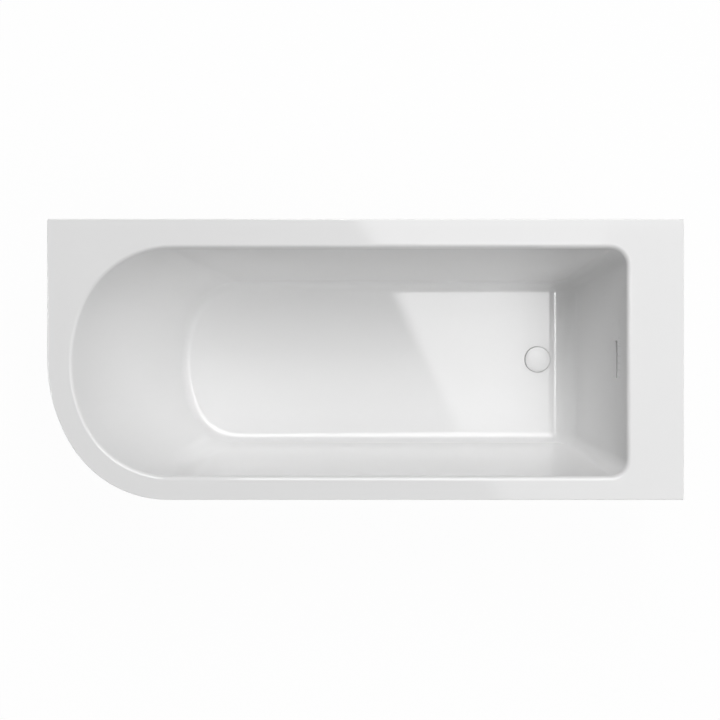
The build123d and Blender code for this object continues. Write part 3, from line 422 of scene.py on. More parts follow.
rim_edge, lip_wall, lip_drop, lip_bevel = 0.0025, 0.005, 0.030, 0.0004
roll = np.linspace(0, np.pi / 2, 9)
lip_inset = np.concatenate([
    [rim_edge + hold], rim_edge * (1 - np.sin(roll)), [0, lip_bevel],
    [lip_wall - lip_bevel, lip_wall, lip_wall],
])
lip_height = rim_top - np.concatenate([
    [0], rim_edge * (1 - np.cos(roll)), [lip_drop - lip_bevel, lip_drop],
    [lip_drop, lip_drop - lip_bevel, shell],
])
lip = at_height(rim_ring(lip_inset[:, None]), lip_height[:, None])
print("lip grid:", lip.shape)

# %% [markdown]
# ## The overflow slot
# The slot is a thin rounded rectangle through the end wall. Cutting it with a boolean would leave ragged
# shading, so the wall's grid has a window there, and loops of the slot's own shape run through the sheet: a
# small rounding at the front, then straight to the back.

# %% Loops through the slot
slot_corner, slot_edge = 0.002, 0.0008


def slot_ring(grow):
    """A rounded rectangle as four quarter arcs: corner centre plus corner radius times its direction."""
    radius = slot_corner + grow
    angle = np.pi / 2 * (np.arange(4)[:, None] + np.linspace(0, 1, 7))
    across = np.array([1, -1, -1, 1])[:, None] * (slot_half[0] + grow - radius)
    along = np.array([1, 1, -1, -1])[:, None] * (slot_half[1] + grow - radius)
    ring = np.stack([across + radius * np.cos(angle), along + radius * np.sin(angle)], -1)
    return ring.reshape(-1, 2)


def on_wall(grid, window, ring):
    """Slot points laid on the wall: its plane is taken from the grid's own points at the window."""
    middle = (window[2] + window[3]) // 2
    top, bottom = grid[window[0], middle], grid[window[1], middle]
    up = (top - bottom) / np.linalg.norm(top - bottom)
    centre = (top + bottom) / 2
    centre = centre - centre * (0, 1, 0)
    return centre + ring[:, :1] * np.array([0, 1, 0]) + ring[:, 1:] * up


wall_out = np.array([np.cos(slope["right"]), 0, -np.sin(slope["right"])])
turn = np.linspace(0, np.pi / 2, 5)
slot_rows = [
    on_wall(bowl_inside, slot_hole, slot_ring(slot_edge * (1 - np.sin(a)))) + wall_out * slot_edge * (1 - np.cos(a))
    for a in turn
]
slot_rows.append(on_wall(bowl_outside, slot_back, slot_ring(0.0)))
print("slot loops:", len(slot_rows), "of", len(slot_rows[0]), "points")

# %% [markdown]
# ## The waste's seat
# The floor is pressed down by 2 mm round the waste so that the flange lies level with it and the last water
# runs in. Behind, the sheet is thicker there. The seat is turned about the waste's axis; only its outermost
# loops follow the floor's fall and the cove's rise.

# %% Rings of the waste's seat
def floor_at(x, grow):
    """Height of the floor, or of its underside: level at the waste, falling to the right, up the cove there."""
    return floor_level - grow - (x - waste_x) * floor_fall + cove_rise(x, grow)


seat_level, hole_radius, boss_level = floor_level - 0.002, 0.026, floor_level - shell - 0.003
around = np.linspace(0, 2 * np.pi, 96, endpoint=False)


def seat_rows(radius, drop, level=None, grow=0.0):
    """Circles about the waste, each at a drop below the floor or at a level of its own."""
    radius = np.asarray(radius, float)[:, None]
    x = waste_x + radius * np.cos(around)
    y = radius * np.sin(around)
    if level is None:
        z = floor_at(x, grow) - np.asarray(drop, float)[:, None]
    else:
        z = 0 * x + np.array(level)[:, None]
    return np.stack([x, y, z], -1)


turn = np.linspace(0, np.pi / 2, 7)
seat_top = seat_rows(
    np.concatenate([[seat_radius + seat_edge + hold], seat_radius + seat_edge * (1 - np.sin(turn))]),
    np.concatenate([[0], seat_edge * (1 - np.cos(turn))]),
)
soft = 0.0004
seat_radii = [seat_radius, seat_radius - soft, seat_radius - soft - hold, hole_radius + soft, hole_radius,
              hole_radius, hole_radius + soft, boss_radius - soft, boss_radius]
seat_levels = [seat_level + soft, seat_level, seat_level, seat_level, seat_level - soft,
               boss_level + soft, boss_level, boss_level, boss_level + soft]
seat_low = seat_rows(seat_radii, None, seat_levels)
seat_under = seat_rows([boss_radius], [0], grow=shell)
print("seat rings:", len(seat_top) + len(seat_low) + len(seat_under))

# %% [markdown]
# ## Nodes that every finish shares
# No real surface is even, so the colour, the roughness or the relief of each finish follows a noise. The noise
# is read at the point's own place on the object, so it stays where it is from every side. Painted pictures could
# do the same, but nodes stay sharp from close by and need no unwrapping.

# %% Nodes for noise, tone and relief
def feed(tree, node, inputs):
    """Feeds a node's inputs, given by name or number: an output is linked to its input, a value is set on it."""
    for name, value in inputs.items():
        if isinstance(value, bpy.types.NodeSocket):
            tree.links.new(value, node.inputs[name])
        else:
            node.inputs[name].default_value = value


def add(tree, kind, inputs=None, **settings):
    """Adds a node of a kind with its settings, and feeds its inputs."""
    node = tree.nodes.new("ShaderNode" + kind)
    for name, value in settings.items():
        setattr(node, name, value)
    feed(tree, node, inputs or {})
    return node


def noise(tree, place, scale, detail=3.0, stretch=None):
    """Noise on object coordinates, stretched by dividing its size along an axis; returns its value."""
    if stretch:
        place = add(tree, "Mapping", {"Scale": stretch, "Vector": place}).outputs["Vector"]
    return add(tree, "TexNoise", {"Scale": scale, "Detail": detail, "Vector": place}).outputs["Fac"]


def ramp(tree, value, *stops):
    """Colours, or greys, at places along a value."""
    made = add(tree, "ValToRGB", {"Fac": value})
    while len(made.color_ramp.elements) < len(stops):
        made.color_ramp.elements.new(0.5)
    for element, (place, colour) in zip(made.color_ramp.elements, stops):
        element.position = place
        element.color = (*colour, 1.0) if isinstance(colour, tuple) else (colour, colour, colour, 1.0)
    return made.outputs["Color"]


def relief(tree, value, distance):
    """The normal of a surface raised by a value, up to a distance in metres."""
    return add(tree, "Bump", {"Height": value, "Distance": distance, "Strength": 1.0}).outputs["Normal"]


def new_finish(name, recipe, roughness=0.4, metallic=0.0):
    """A material whose principled shader is fed by a recipe, a function of the node tree and the point's place
    on the object. What the recipe leaves out keeps the plain value."""
    finish = bpy.data.materials.new(name)
    finish.use_nodes = True
    tree = finish.node_tree
    place = add(tree, "TexCoord").outputs["Object"]
    fed = {"Roughness": roughness, "Metallic": metallic} | recipe(tree, place)
    feed(tree, tree.nodes["Principled BSDF"], fed)
    return finish


print("node helpers: feed, add, noise, ramp, relief, new_finish")

# %% [markdown]
# ## White acrylic and its glass-fibre back
# Sanitary acrylic is a dense white under a polished skin: a diffuse white with a clear, sharp reflection of
# about four percent. A slow noise varies its tone and its polish by a hair. The back is chopped glass strands in
# clear resin, rolled on by hand: greenish grey, uneven, half shiny.

# %% The two finishes of the sheet
def white_acrylic(tree, place):
    """Tone drifting by one percent, and a polish that is a little sharper in some places than in others."""
    return {"Base Color": ramp(tree, noise(tree, place, 1.6), (0.3, 0.795), (0.7, 0.805)),
            "Roughness": ramp(tree, noise(tree, place, 9.0), (0.3, 0.008), (0.75, 0.02))}


def glass_fibre(tree, place):
    """Fine noise, squeezed along Y and Z into strands, for both the tone and the relief."""
    strands = noise(tree, place, 160.0, 6.0, stretch=(1.0, 5.0, 2.0))
    return {"Base Color": ramp(tree, strands, (0.35, (0.52, 0.54, 0.47)), (0.65, (0.72, 0.73, 0.67))),
            "Normal": relief(tree, strands, 0.0008)}


acrylic = new_finish("white_acrylic", white_acrylic)
fibre = new_finish("glass_fibre", glass_fibre, roughness=0.35)
print("finishes:", acrylic.name, fibre.name)

# %% [markdown]
# ## The finishes underneath
# What carries a bath is plain stock: chipboard sealed with resin, hot-dip galvanised rails with their crystal
# pattern, bright zinc screws, chromed brass, black rubber and moulded plastic. The first two need nodes of
# their own, because chips and zinc crystals have edges: both use Voronoi cells, which fill a surface with facets
# of random tone.

# %% Chipboard and galvanised steel
def cells(tree, place, scale, stretch):
    """A random grey for each Voronoi cell, the cells stretched along an axis."""
    place = add(tree, "Mapping", {"Scale": stretch, "Vector": place}).outputs["Vector"]
    return add(tree, "TexVoronoi", {"Scale": scale, "Vector": place}).outputs["Color"]


def chipboard(tree, place):
    """Chips from straw to brown as stretched cells, under a seal with an uneven shine."""
    chips, seal = cells(tree, place, 190.0, (1.0, 0.45, 1.6)), noise(tree, place, 60.0, 5.0)
    tones = (0.2, (0.42, 0.29, 0.16)), (0.45, (0.66, 0.50, 0.31)), (0.75, (0.82, 0.69, 0.48))
    return {"Base Color": ramp(tree, chips, *tones),
            "Roughness": ramp(tree, seal, (0.35, 0.32), (0.7, 0.6)),
            "Normal": relief(tree, seal, 0.0004)}


def galvanised(tree, place):
    """Crystals as cells: one random value sets both the grey and the shine of each."""
    crystals = cells(tree, place, 110.0, (1.0, 0.8, 1.0))
    return {"Base Color": ramp(tree, crystals, (0.2, (0.50, 0.52, 0.54)), (0.8, (0.74, 0.76, 0.78))),
            "Roughness": ramp(tree, crystals, (0.2, 0.28), (0.8, 0.46)),
            "Normal": relief(tree, noise(tree, place, 300.0), 0.0002)}


board = new_finish("chipboard", chipboard)
zinc = new_finish("galvanised_steel", galvanised, metallic=1.0)
print("finishes:", board.name, zinc.name)

# %% [markdown]
# ## One recipe with other numbers
# Bright metals, rubber and moulded plastics differ in colour and shine, not in kind: a slow drift of tone, a
# finer drift of roughness and a fine relief. Turned brass also has ring marks, which are the same noise squeezed
# along the axis.

# %% Metals, rubber and moulded plastics
def mottled(name, low, high, polish, scale, height=0.0, metallic=0.0, stretch=None):
    """Tone drifting between two colours and roughness between two values, with a relief ten times finer."""
    def recipe(tree, place):
        tone, gloss = (noise(tree, place, scale * finer, 4.0, stretch) for finer in (1, 3))
        fed = {"Base Color": ramp(tree, tone, (0.35, low), (0.65, high)),
               "Roughness": ramp(tree, gloss, (0.35, polish[0]), (0.65, polish[1]))}
        if height:
            fed["Normal"] = relief(tree, noise(tree, place, scale * 10, 2.0, stretch), height)
        return fed

    return new_finish(name, recipe, metallic=metallic)


ring_marks = (1.0, 1.0, 14.0)
finishes = {
    "acrylic": acrylic,
    "skirt_acrylic": acrylic,
    "cover_white": mottled("cover_white", 0.80, 0.83, (0.06, 0.10), 20.0),
    "board": board,
    "batten": board,
    "zinc_steel": zinc,
    "bright_steel": mottled("bright_zinc", (0.68, 0.69, 0.71), (0.78, 0.78, 0.79), (0.20, 0.34), 90.0, 1e-5, 1.0),
    "chrome": mottled("chrome", (0.78, 0.79, 0.80), (0.83, 0.84, 0.85), (0.03, 0.08), 60.0, 0.0, 1.0),
    "rubber": mottled("black_rubber", (0.030, 0.030, 0.031), (0.055, 0.055, 0.057), (0.55, 0.75), 120.0, 4e-5),
    "brass": mottled("turned_brass", (0.68, 0.50, 0.22), (0.80, 0.63, 0.33), (0.18, 0.32), 60.0, 1e-5, 1.0,
                     ring_marks),
    "trap_plastic": mottled("trap_plastic", (0.80, 0.80, 0.79), (0.86, 0.86, 0.85), (0.30, 0.42), 25.0, 3e-5),
    "nut_plastic": mottled("nut_plastic", (0.70, 0.70, 0.69), (0.78, 0.78, 0.77), (0.38, 0.52), 60.0, 5e-5),
    "hose_plastic": mottled("hose_plastic", (0.74, 0.75, 0.77), (0.83, 0.84, 0.85), (0.26, 0.40), 45.0, 2e-5),
    "pad_plastic": mottled("pad_plastic", (0.030, 0.030, 0.033), (0.050, 0.050, 0.054), (0.45, 0.62), 90.0, 6e-5),
}
print("finishes:", len(finishes))

# %% [markdown]
# ## Finishes on the CAD model's own pieces
# Each piece of the frame has a place for its finish, and the record names the finish that the piece needs. A
# material put into that place changes the look and leaves the mesh alone.

# %% Finishes in their places
slot_of = {part["node"]: part["material_slot"] for part in frame["record"]["subparts"]}
for name, node in frame["nodes"].items():
    for place in node.material_slots:
        place.material = finishes[slot_of[name]]
print("finishes given to", len(slot_of), "nodes")

# %% [markdown]
# ## Closing the shell
# Rim, lip, bowl, slot, seat and back now join into one closed skin. Flat regions between loops, such as the
# rim between its edge and the bowl, are filled with triangles; they are truly flat, so they shade evenly.

# %% The tub's shell
def make_tub():
    """Joins each grid and each set of loops row by row, and fills the flat regions between their last rows."""
    tub = Skin()
    up, down = (0, 0, 1), (0, 0, -1)
    inside, outside, edge = tub.add(bowl_inside), tub.add(bowl_outside), tub.add(lip)
    tub.wrap(inside, window=slot_hole)
    tub.wrap(outside, finish=1, flip=True, window=slot_back)
    tub.wrap(edge, flip=True)
    seat = [tub.add(seat_top), tub.add(seat_low), tub.add(seat_under)]
    tub.wrap(np.concatenate(seat))
    tub.fill([edge[0], inside[0]], up)
    tub.fill([edge[-1], outside[0]], down, finish=1)
    tub.fill([inside[-1], seat[0][0]], up)
    tub.fill([outside[-1], seat[2][0]], down, finish=1)
    slot = np.stack([tub.add(row) for row in slot_rows])
    tub.wrap(slot, flip=True)
    holes = ((inside, slot_hole, slot[0], -wall_out), (outside, slot_back, slot[-1], wall_out))
    for rows, (top, bottom, first, last), loop, facing in holes:
        frame_loop = np.concatenate([
            rows[top, first:last], rows[top:bottom, last],
            rows[bottom, first + 1 : last + 1][::-1], rows[top + 1 : bottom + 1, first][::-1],
        ])
        tub.fill([frame_loop, loop], facing, finish=int(rows is outside))
    return tub.piece("tub", "root", ["tub_shell"], [acrylic, fibre])


tub = make_tub()

# %% [markdown]
# ## The skirt
# The skirt is one panel that hangs behind the lip, runs down the left end, round the corner and along the
# front, and leans in towards the floor so that toes have room. Its plan is the rim's, set in a little more at
# each level, so its leaning faces stay straight and its corner stays round. It is given both faces and its
# edges, because it can be seen from behind.

# %% The skirt panel
glue, clear = 0.0002, 0.0003
skirt_top, skirt_foot = rim_top - shell - glue, 0.004
skirt_inset = (0.042, lip_wall + clear)
skirt_thick, skirt_edge = 0.005, 0.0006
behind_lip = rim_top - lip_drop - clear


def make_skirt():
    """Both faces as grids of levels by plan points. The inset goes evenly from the foot's to the top's; where
    the panel stands behind the lip its ends stop short of the walls."""
    level = np.array([skirt_top, skirt_top - skirt_edge, behind_lip, behind_lip - clear, 0.4, 0.2,
                      skirt_foot + skirt_edge, skirt_foot])[:, None]
    share = (level - skirt_foot) / (skirt_top - skirt_foot)
    inset = skirt_inset[0] + (skirt_inset[1] - skirt_inset[0]) * share
    edge = skirt_edge * np.array([1, 0, 0, 0, 0, 0, 0, 1])[:, None]
    short = skirt_inset[1] * np.array([1, 1, 1, 0, 0, 0, 0, 0])[:, None]
    faces = []
    skirt = Skin()
    for face_inset in (inset + edge, inset + skirt_thick - edge):
        right_end = length / 2 - short
        last = np.stack([right_end, -width / 2 + face_inset], -1)
        plan = np.concatenate([*open_sides(face_inset, width / 2 - short, right_end), last], axis=1)
        faces.append(skirt.add(at_height(plan, level)))
    outer, inner = faces
    skirt.wrap(outer, closed=False, flip=True)
    skirt.wrap(inner, closed=False, finish=1)
    skirt.wrap(np.stack([outer[0], inner[0]]), closed=False)
    skirt.wrap(np.stack([inner[-1], outer[-1]]), closed=False)
    skirt.wrap(np.stack([outer[:, 0], inner[:, 0]]), closed=False, flip=True)
    skirt.wrap(np.stack([outer[:, -1], inner[:, -1]]), closed=False)
    return skirt.piece("skirt", "root", ["skirt_panel"], [acrylic, fibre])


skirt = make_skirt()

# %% [markdown]
# ## The overflow hose
# A corrugated hose keeps its bore open in a bend because each rib can close or open a little. It leaves the
# waste level, turns once, wide, and climbs to the overflow. Modelling it rib by rib would mean hundreds of
# loops to place; here the radius is a wave along the path, and the whole hose is one grid.

# %% The ribbed hose
hose_low = np.array([0.5312, 0.0, 0.1346])
hose_high = np.array([0.69932, 0.0, 0.5003])
hose_cuff, hose_ribs = 0.027, 52
hose_bore, hose_valley, hose_crest = 0.0101, 0.0116, 0.0135
points_in_rib, bore_rows, wave_height = 16, 60, 0.9
soft_end, cuff_step = 0.0005, 0.0012
hose_bend = hose_high[0] - hose_low[0] - hose_cuff


def hose_line(along):
    """Points and the turned angle at distances along the hose: straight, a quarter circle, straight. The angle
    is the distance into the bend over its radius, held between nothing and a quarter turn."""
    angle = np.clip((along - hose_cuff) / hose_bend, 0, np.pi / 2)
    x = hose_low[0] + np.minimum(along, hose_cuff) + hose_bend * np.sin(angle)
    past = np.maximum(along - hose_cuff - hose_bend * np.pi / 2, 0)
    z = hose_low[2] + hose_bend * (1 - np.cos(angle)) + past
    return np.stack([x, 0 * x, z], -1), angle


def hose_grid(along, radius, columns=40):
    """Circles square to the line: centre plus radius times (cosine along Y plus sine along the normal)."""
    centre, angle = hose_line(along)
    round_about = 2 * np.pi * np.arange(columns) / columns
    normal = np.stack([-np.sin(angle), 0 * angle, np.cos(angle)], -1)[:, None]
    direction = np.cos(round_about)[:, None] * np.array([0, 1, 0]) + np.sin(round_about)[:, None] * normal
    return centre[:, None] + np.broadcast_to(radius, along.shape)[:, None, None] * direction


def make_hose():
    """Outside: cuffs with a ribbed length between, the radius a flattened cosine wave. Inside: a plain bore."""
    total = 2 * hose_cuff + hose_bend * np.pi / 2 + hose_high[2] - hose_low[2] - hose_bend - hose_cuff
    ribbed = np.linspace(0, 1, points_in_rib * hose_ribs + 1)
    wave = np.clip(0.5 - np.cos(2 * np.pi * hose_ribs * ribbed) * wave_height, 0, 1)
    crest = wave**2 * (3 - 2 * wave)
    along = np.concatenate([[0, soft_end, hose_cuff - cuff_step], hose_cuff + (total - 2 * hose_cuff) * ribbed,
                            [total - hose_cuff + cuff_step, total - soft_end, total]])
    cuff = [hose_crest - soft_end, hose_crest, hose_crest]
    radius = np.concatenate([cuff, hose_valley + (hose_crest - hose_valley) * crest, cuff[::-1]])
    back = np.linspace(total, 0, bore_rows)
    hose = Skin()
    rows = hose.add(np.concatenate([hose_grid(along, radius), hose_grid(back, hose_bore)]))
    hose.wrap(np.concatenate([rows, rows[:1]]))
    print("hose: length", round(total, 4), "ribs", hose_ribs)
    return hose.piece("hose", "root", ["overflow_hose"], [finishes["hose_plastic"]])


hose = make_hose()

# %% [markdown]
# ## Turned and hexagonal pieces
# Studs, nuts, bolts, feet and clips are turned on a lathe or pressed: each is a profile carried round an axis.
# Where a piece has flats, its radius simply stops at a hexagon, and a cone cut by that hexagon gives the
# curved chamfers of a real nut. A thread is the same grid with the radius rising and falling along a helix,
# and the cross in a screw's head is one more outline that a few rings take on the way down.

# %% Profiles carried round an axis
mm = 0.001
columns = 48
around_piece = 2 * np.pi * np.arange(columns) / columns
AXES = {"z": ((1, 0, 0), (0, 1, 0), (0, 0, 1)), "y": ((0, 0, 1), (1, 0, 0), (0, 1, 0)),
        "x": ((0, 1, 0), (0, 0, 1), (1, 0, 0)), "down": ((0, 1, 0), (1, 0, 0), (0, 0, -1))}


def soften(profile, radius, steps=4):
    """Rounds every corner of an open profile: a corner becomes a parabola from a point before it to one after,
    each at the radius from it, or at less than half the side where that is shorter."""
    corner = np.array(profile, float)
    before, after = corner[:-2] - corner[1:-1], corner[2:] - corner[1:-1]
    sides = [np.linalg.norm(v, axis=1, keepdims=True) for v in (before, after)]
    cut = np.minimum(radius, 0.45 * np.minimum(*sides))
    start, end = corner[1:-1] + before / sides[0] * cut, corner[1:-1] + after / sides[1] * cut
    share = np.linspace(0, 1, steps)[:, None, None]
    rounded = (1 - share) ** 2 * start + 2 * share * (1 - share) * corner[1:-1] + share**2 * end
    return np.concatenate([corner[:1], rounded.transpose(1, 0, 2).reshape(-1, 2), corner[-1:]])


def hexagon(across):
    """Distance to a hexagon's edge in each direction: half across the flats over the cosine to the flat."""
    return across / 2 / np.cos(around_piece % (np.pi / 3) - np.pi / 6)


def cross(length_across, width_across):
    """Distance to the edge of a cross in each direction: the further of its two bars."""
    cosine, sine = (np.maximum(np.abs(f(around_piece)), 1e-9) for f in (np.cos, np.sin))
    long, thin = length_across / 2, width_across / 2
    bars = [np.minimum(long / cosine, thin / sine), np.minimum(thin / cosine, long / sine)]
    return np.maximum(*bars)


def turned(skin, profile, origin, axis="z", flats=None, ring=False):
    """A profile in millimetres carried round an axis: origin plus radius times the direction round, plus level
    along. A radius is a number or one number for each column. A ring's profile ends where it starts; any other
    is closed by a flat cap at both ends."""
    u, v, along = (np.array(a, float) for a in AXES[axis])
    radius = np.stack([np.broadcast_to(r, columns) for r, _ in profile]) * mm
    level = np.array([z for _, z in profile])[:, None, None] * mm
    if flats is not None:
        radius = np.minimum(radius, flats * mm)
    direction = np.cos(around_piece)[:, None] * u + np.sin(around_piece)[:, None] * v
    rows = skin.add(np.array(origin) * mm + radius[..., None] * direction + level * along)
    if ring:
        skin.wrap(np.concatenate([rows, rows[:1]]))
    else:
        skin.wrap(rows)
        skin.fill([rows[0]], -along)
        skin.fill([rows[-1]], along)


print("axes:", list(AXES))

# %% [markdown]
# ## Levelling feet
# Each foot is an M10 stud with a pressed hexagon for the spanner and a black pad snapped on its end. The
# screwed stud is the one place where the thread shows, so it is a real thread: the radius falls from the
# crest by a triangle wave of height, and the wave starts later with each step round.

# %% Studs and pads
foot_places = [(x, y) for x in (-400, 0, 400) for y in (-250, 250)]
stud_radius, thread_depth, thread_pitch = 5.0, 0.55, 1.5
spanner_across = 14.0
spanner_grip = [(6.6, 24.0), (7.4, 24.5), (8.2, 25.3), (8.2, 28.7), (7.4, 29.5), (6.6, 30.0)]
pad_profile = [(22, 0.0), (25, 0.3), (25, 4.6), (17.6, 5.4), (17, 8.9), (11.4, 9.4), (10.8, 20), (5.6, 20),
               (5.08, 19.5), (5.08, 8.05)]


def threaded(first, last, rows_in_turn=5):
    """Profile of a thread between two levels: the radius falls by the depth times a triangle wave of level over
    pitch less the turn. The wave fades in over a turn at each end, so that the thread runs out."""
    levels = np.linspace(first, last, int((last - first) / thread_pitch * rows_in_turn))
    phase = (levels[:, None] / thread_pitch - around_piece / (2 * np.pi)) % 1
    fade = np.clip(np.minimum(levels - first, last - levels) / thread_pitch, 0, 1)[:, None]
    radii = stud_radius - thread_depth * (1 - np.abs(2 * phase - 1)) * fade
    return list(zip(radii, levels))


def make_foot(number, place):
    """The stud's two threads with the hexagon between them, and the pad, all carried round one upright axis."""
    stud, pad = Skin(), Skin()
    origin = (*place, 0)
    turned(stud, [(stud_radius - 1, 8.2), *threaded(9.0, 23.8)], origin)
    turned(stud, spanner_grip, origin, flats=hexagon(spanner_across))
    turned(stud, [*threaded(30.2, 147.8), (stud_radius - 1, 148.6)], origin)
    turned(pad, soften(pad_profile, 0.9), origin)
    stud = stud.piece(f"foot_{number}_stud", f"foot_{number}", [f"foot_stud_{number}"], [finishes["bright_steel"]])
    pad = pad.piece(f"foot_{number}_pad", f"foot_{number}", [f"foot_pad_{number}"], [finishes["pad_plastic"]])


for number, place in enumerate(foot_places, 1):
    make_foot(number, place)
print("feet:", len(foot_places))

# %% [markdown]
# ## Nuts, bolts and screws
# A nut's corners are cut by a cone at both faces, which leaves the curved edges that catch the light. All
# fixings of one kind are one piece, as they are one node in the CAD model.

# %% Nuts and bolts of the cradle
def nut_profile(across, bore, low, high):
    """A ring: up the outside with a cone at each face, in along the top, down the bore with its countersink."""
    corner, face, cone = across / 2 * 1.155, across / 2 * 0.95, across * 0.035
    rise = [(face + (corner - face) * s, cone * s**1.4) for s in (0, 0.25, 0.5, 0.75, 1)]
    outside = [(r, low + z) for r, z in rise] + [(r, high - z) for r, z in rise[::-1]]
    return outside + [(bore + 0.5, high), (bore, high - 0.5), (bore, low + 0.5), (bore + 0.5, low)]


nut_across, nut_bore, nut_height, nut_levels = 17.0, 5.08, 8.0, (97.2, 125.6)
nuts = Skin()
for place in foot_places:
    for low in nut_levels:
        profile = nut_profile(nut_across, nut_bore, low, low + nut_height)
        turned(nuts, profile, (*place, 0), flats=hexagon(nut_across), ring=True)
nuts = nuts.piece("foot_nuts_turned", "root", ["foot_nuts"], [finishes["bright_steel"]], sharp=25.0)

bolt_across = 13.0
bolt_head = [(5.9, 99.9), (6.4, 100.0), (6.9, 100.3), (7.5, 100.8), (7.5, 105.0), (7.3, 105.2)]
bolt_shank = [(4.0, 105.2), (4.0, 135.0), (3.4, 135.6)]
bolts = Skin()
for origin in [(x, y, 0) for x in (-400, 0, 400) for y in (-165, 165)]:
    turned(bolts, bolt_head, origin, flats=hexagon(bolt_across))
    turned(bolts, bolt_shank, origin)
bolts = bolts.piece("rail_bolts_turned", "root", ["rail_bolts"], [finishes["bright_steel"]], sharp=25.0)

# %% [markdown]
# ## Cross-head screws
# Two kinds of wood screw hold the cradle and the brackets. Only their heads show, so the heads are domed and have
# a real cross pressed in, while the shanks, deep in the board, stay plain.

# %% Screws in the board and the brackets
def screw(skin, origin, head_radius, head, shank_radius, reach):
    """From the shank's tip to the head, downwards: shank, head, its dome, and a cross pressed into it. The dome
    falls from the head's height by the root of one less the sixth power of the share of its radius."""
    bar = (head_radius * 1.25, head_radius * 0.34)
    recess = [(cross(*bar), head), (cross(*bar) * 0.9, head * 0.88), (cross(*bar) * 0.55, head * 0.5)]
    dome = [(head_radius * s, head * (1 - s**6) ** 0.5) for s in (1.0, 0.985, 0.94, 0.85, 0.72)]
    shank = [(shank_radius * 0.5, -reach), (shank_radius, shank_radius - reach), (shank_radius, 0)]
    shank.append((head_radius, 0))
    turned(skin, shank + dome + recess, np.array(origin) + (0, 0, head), axis="down")


board_face, bracket_face = 140.9, 565.4
board_screws, bracket_screws = Skin(), Skin()
for place in [(x, y) for x in (-360, -75, 210, 495) for y in (-165, 165)]:
    screw(board_screws, (*place, board_face), 4.5, 2.5, 2.5, 14.4)
bracket_places = [(x + s, 341) for x in (-560, 0, 560) for s in (-12, 12)]
bracket_places += [(816, y + s) for y in (-170, 170) for s in (-12, 12)]
for place in bracket_places:
    screw(bracket_screws, (*place, bracket_face), 3.8, 2.2, 2.0, 18.4)
for skin, node in ((board_screws, "board_screws"), (bracket_screws, "bracket_screws")):
    skin.piece(node + "_turned", "root", [node], [finishes["bright_steel"]])

# %% [markdown]
# ## Hose clips
# A worm-drive clip is a band drawn tight by a screw that lies across it. The band is a ring with rounded edges;
# the screw is a short turned barrel: a round head, a neck, and ribs for its thread.

# %% Two clips
worm_out = 17.2
band = [(14.7, -4.2), (14.85, -3.6), (14.7, -3.0), (14.7, 3.0), (14.85, 3.6), (14.7, 4.2), (14.2, 4.5), (13.7, 4.4),
        (13.7, -4.4), (14.2, -4.5)]
worm = [(2.9, -8.0), (3.4, -7.6), (3.4, -5.0), (2.2, -4.8), (2.2, -4.3), (3.3, -4.1)]
worm += [(r, z) for k in range(6) for r, z in ((3.3, -3.9 + 1.9 * k), (2.7, -3.3 + 1.9 * k), (3.3, -2.7 + 1.9 * k))]
worm += [(3.3, 7.6), (2.9, 8.0)]
clips = Skin()
for (x, z), band_axis, worm_axis in (((544.7, 134.6), "x", "z"), ((699.32, 486.8), "z", "x")):
    turned(clips, band, (x, 0, z), axis=band_axis, ring=True)
    turned(clips, worm, (x, worm_out, z), axis=worm_axis)
clips = clips.piece("hose_clips_turned", "root", ["hose_clips"], [finishes["bright_steel"]])

# %% [markdown]
# ## The waste cover
# The push waste is shut by a round cover whose face is slightly domed, so that water runs off it. Its edge is
# only just broken, so that the ring between it and its seat stays thin. A dome this shallow only shows in its
# gloss.

# %% The cover's domed face
cover_top, cover_low, cover_radius, cover_crown = 177.1, 172.1, 36.0, 0.5
hub_radius, hub_low, stem_bore, stem_end, chamfer = 8.0, 167.1, 4.08, 173.3, 0.4
cover_origin = (498, 0, 0)
edge_round, edge_turn = 0.9, np.linspace(0, np.pi / 2, 7)
edge = [(cover_radius - edge_round * (1 - np.cos(a)), cover_top - cover_crown - edge_round * (1 - np.sin(a)))
        for a in edge_turn]
dome = [(r, cover_top - cover_crown * (r / (cover_radius - edge_round)) ** 2)
        for r in (30, 24, 18, 12, 6, 2)]
print("cover edge:", edge[0], edge[-1])


def make_cover():
    """A turned face with a rounded edge, flat below, and a hub with the stem's bore."""
    under = [(stem_bore, stem_end), (stem_bore, hub_low + chamfer), (stem_bore + chamfer, hub_low),
             (hub_radius - chamfer, hub_low), (hub_radius, hub_low + chamfer), (hub_radius, cover_low),
             (cover_radius - chamfer, cover_low), (cover_radius, cover_low + chamfer)]
    cover = Skin()
    turned(cover, under + edge[::-1] + dome, cover_origin)
    return cover.piece("cover", "plug", ["plug_cap"], [finishes["cover_white"]])


cover = make_cover()

# %% [markdown]
# ## The photograph's camera
# The photograph looks straight down with the back wall up and the waste to the right. How far the walls close
# in on the way down puts the camera about 5.2 m above the rim, and the outline's size in the picture gives
# the lens.

# %% Camera
camera = bpy.data.objects.new("camera", bpy.data.cameras.new("camera"))
bpy.context.scene.collection.objects.link(camera)
camera_above_rim = 5.2
camera.location = (-0.01482, -0.0016, rim_top + camera_above_rim)
camera.data.sensor_width = 36.0
camera.data.lens = 97.43
bpy.context.scene.camera = camera
print("camera at", tuple(round(c, 4) for c in camera.location))

# %% [markdown]
# ## White for the rays that show it
# A white that is only lit comes out grey, and more light would burn out the bath. So the studio asks what kind
# of ray has met it: the camera's and the reflections' rays see plain white, and all others the lit shader.

# %% Flat sheets and plain white
def rectangle(x, y, z):
    """Corners of a level rectangle, anticlockwise from above, from the first to the last of x and of y."""
    return [(x[0], y[0], z), (x[1], y[0], z), (x[1], y[1], z), (x[0], y[1], z)]


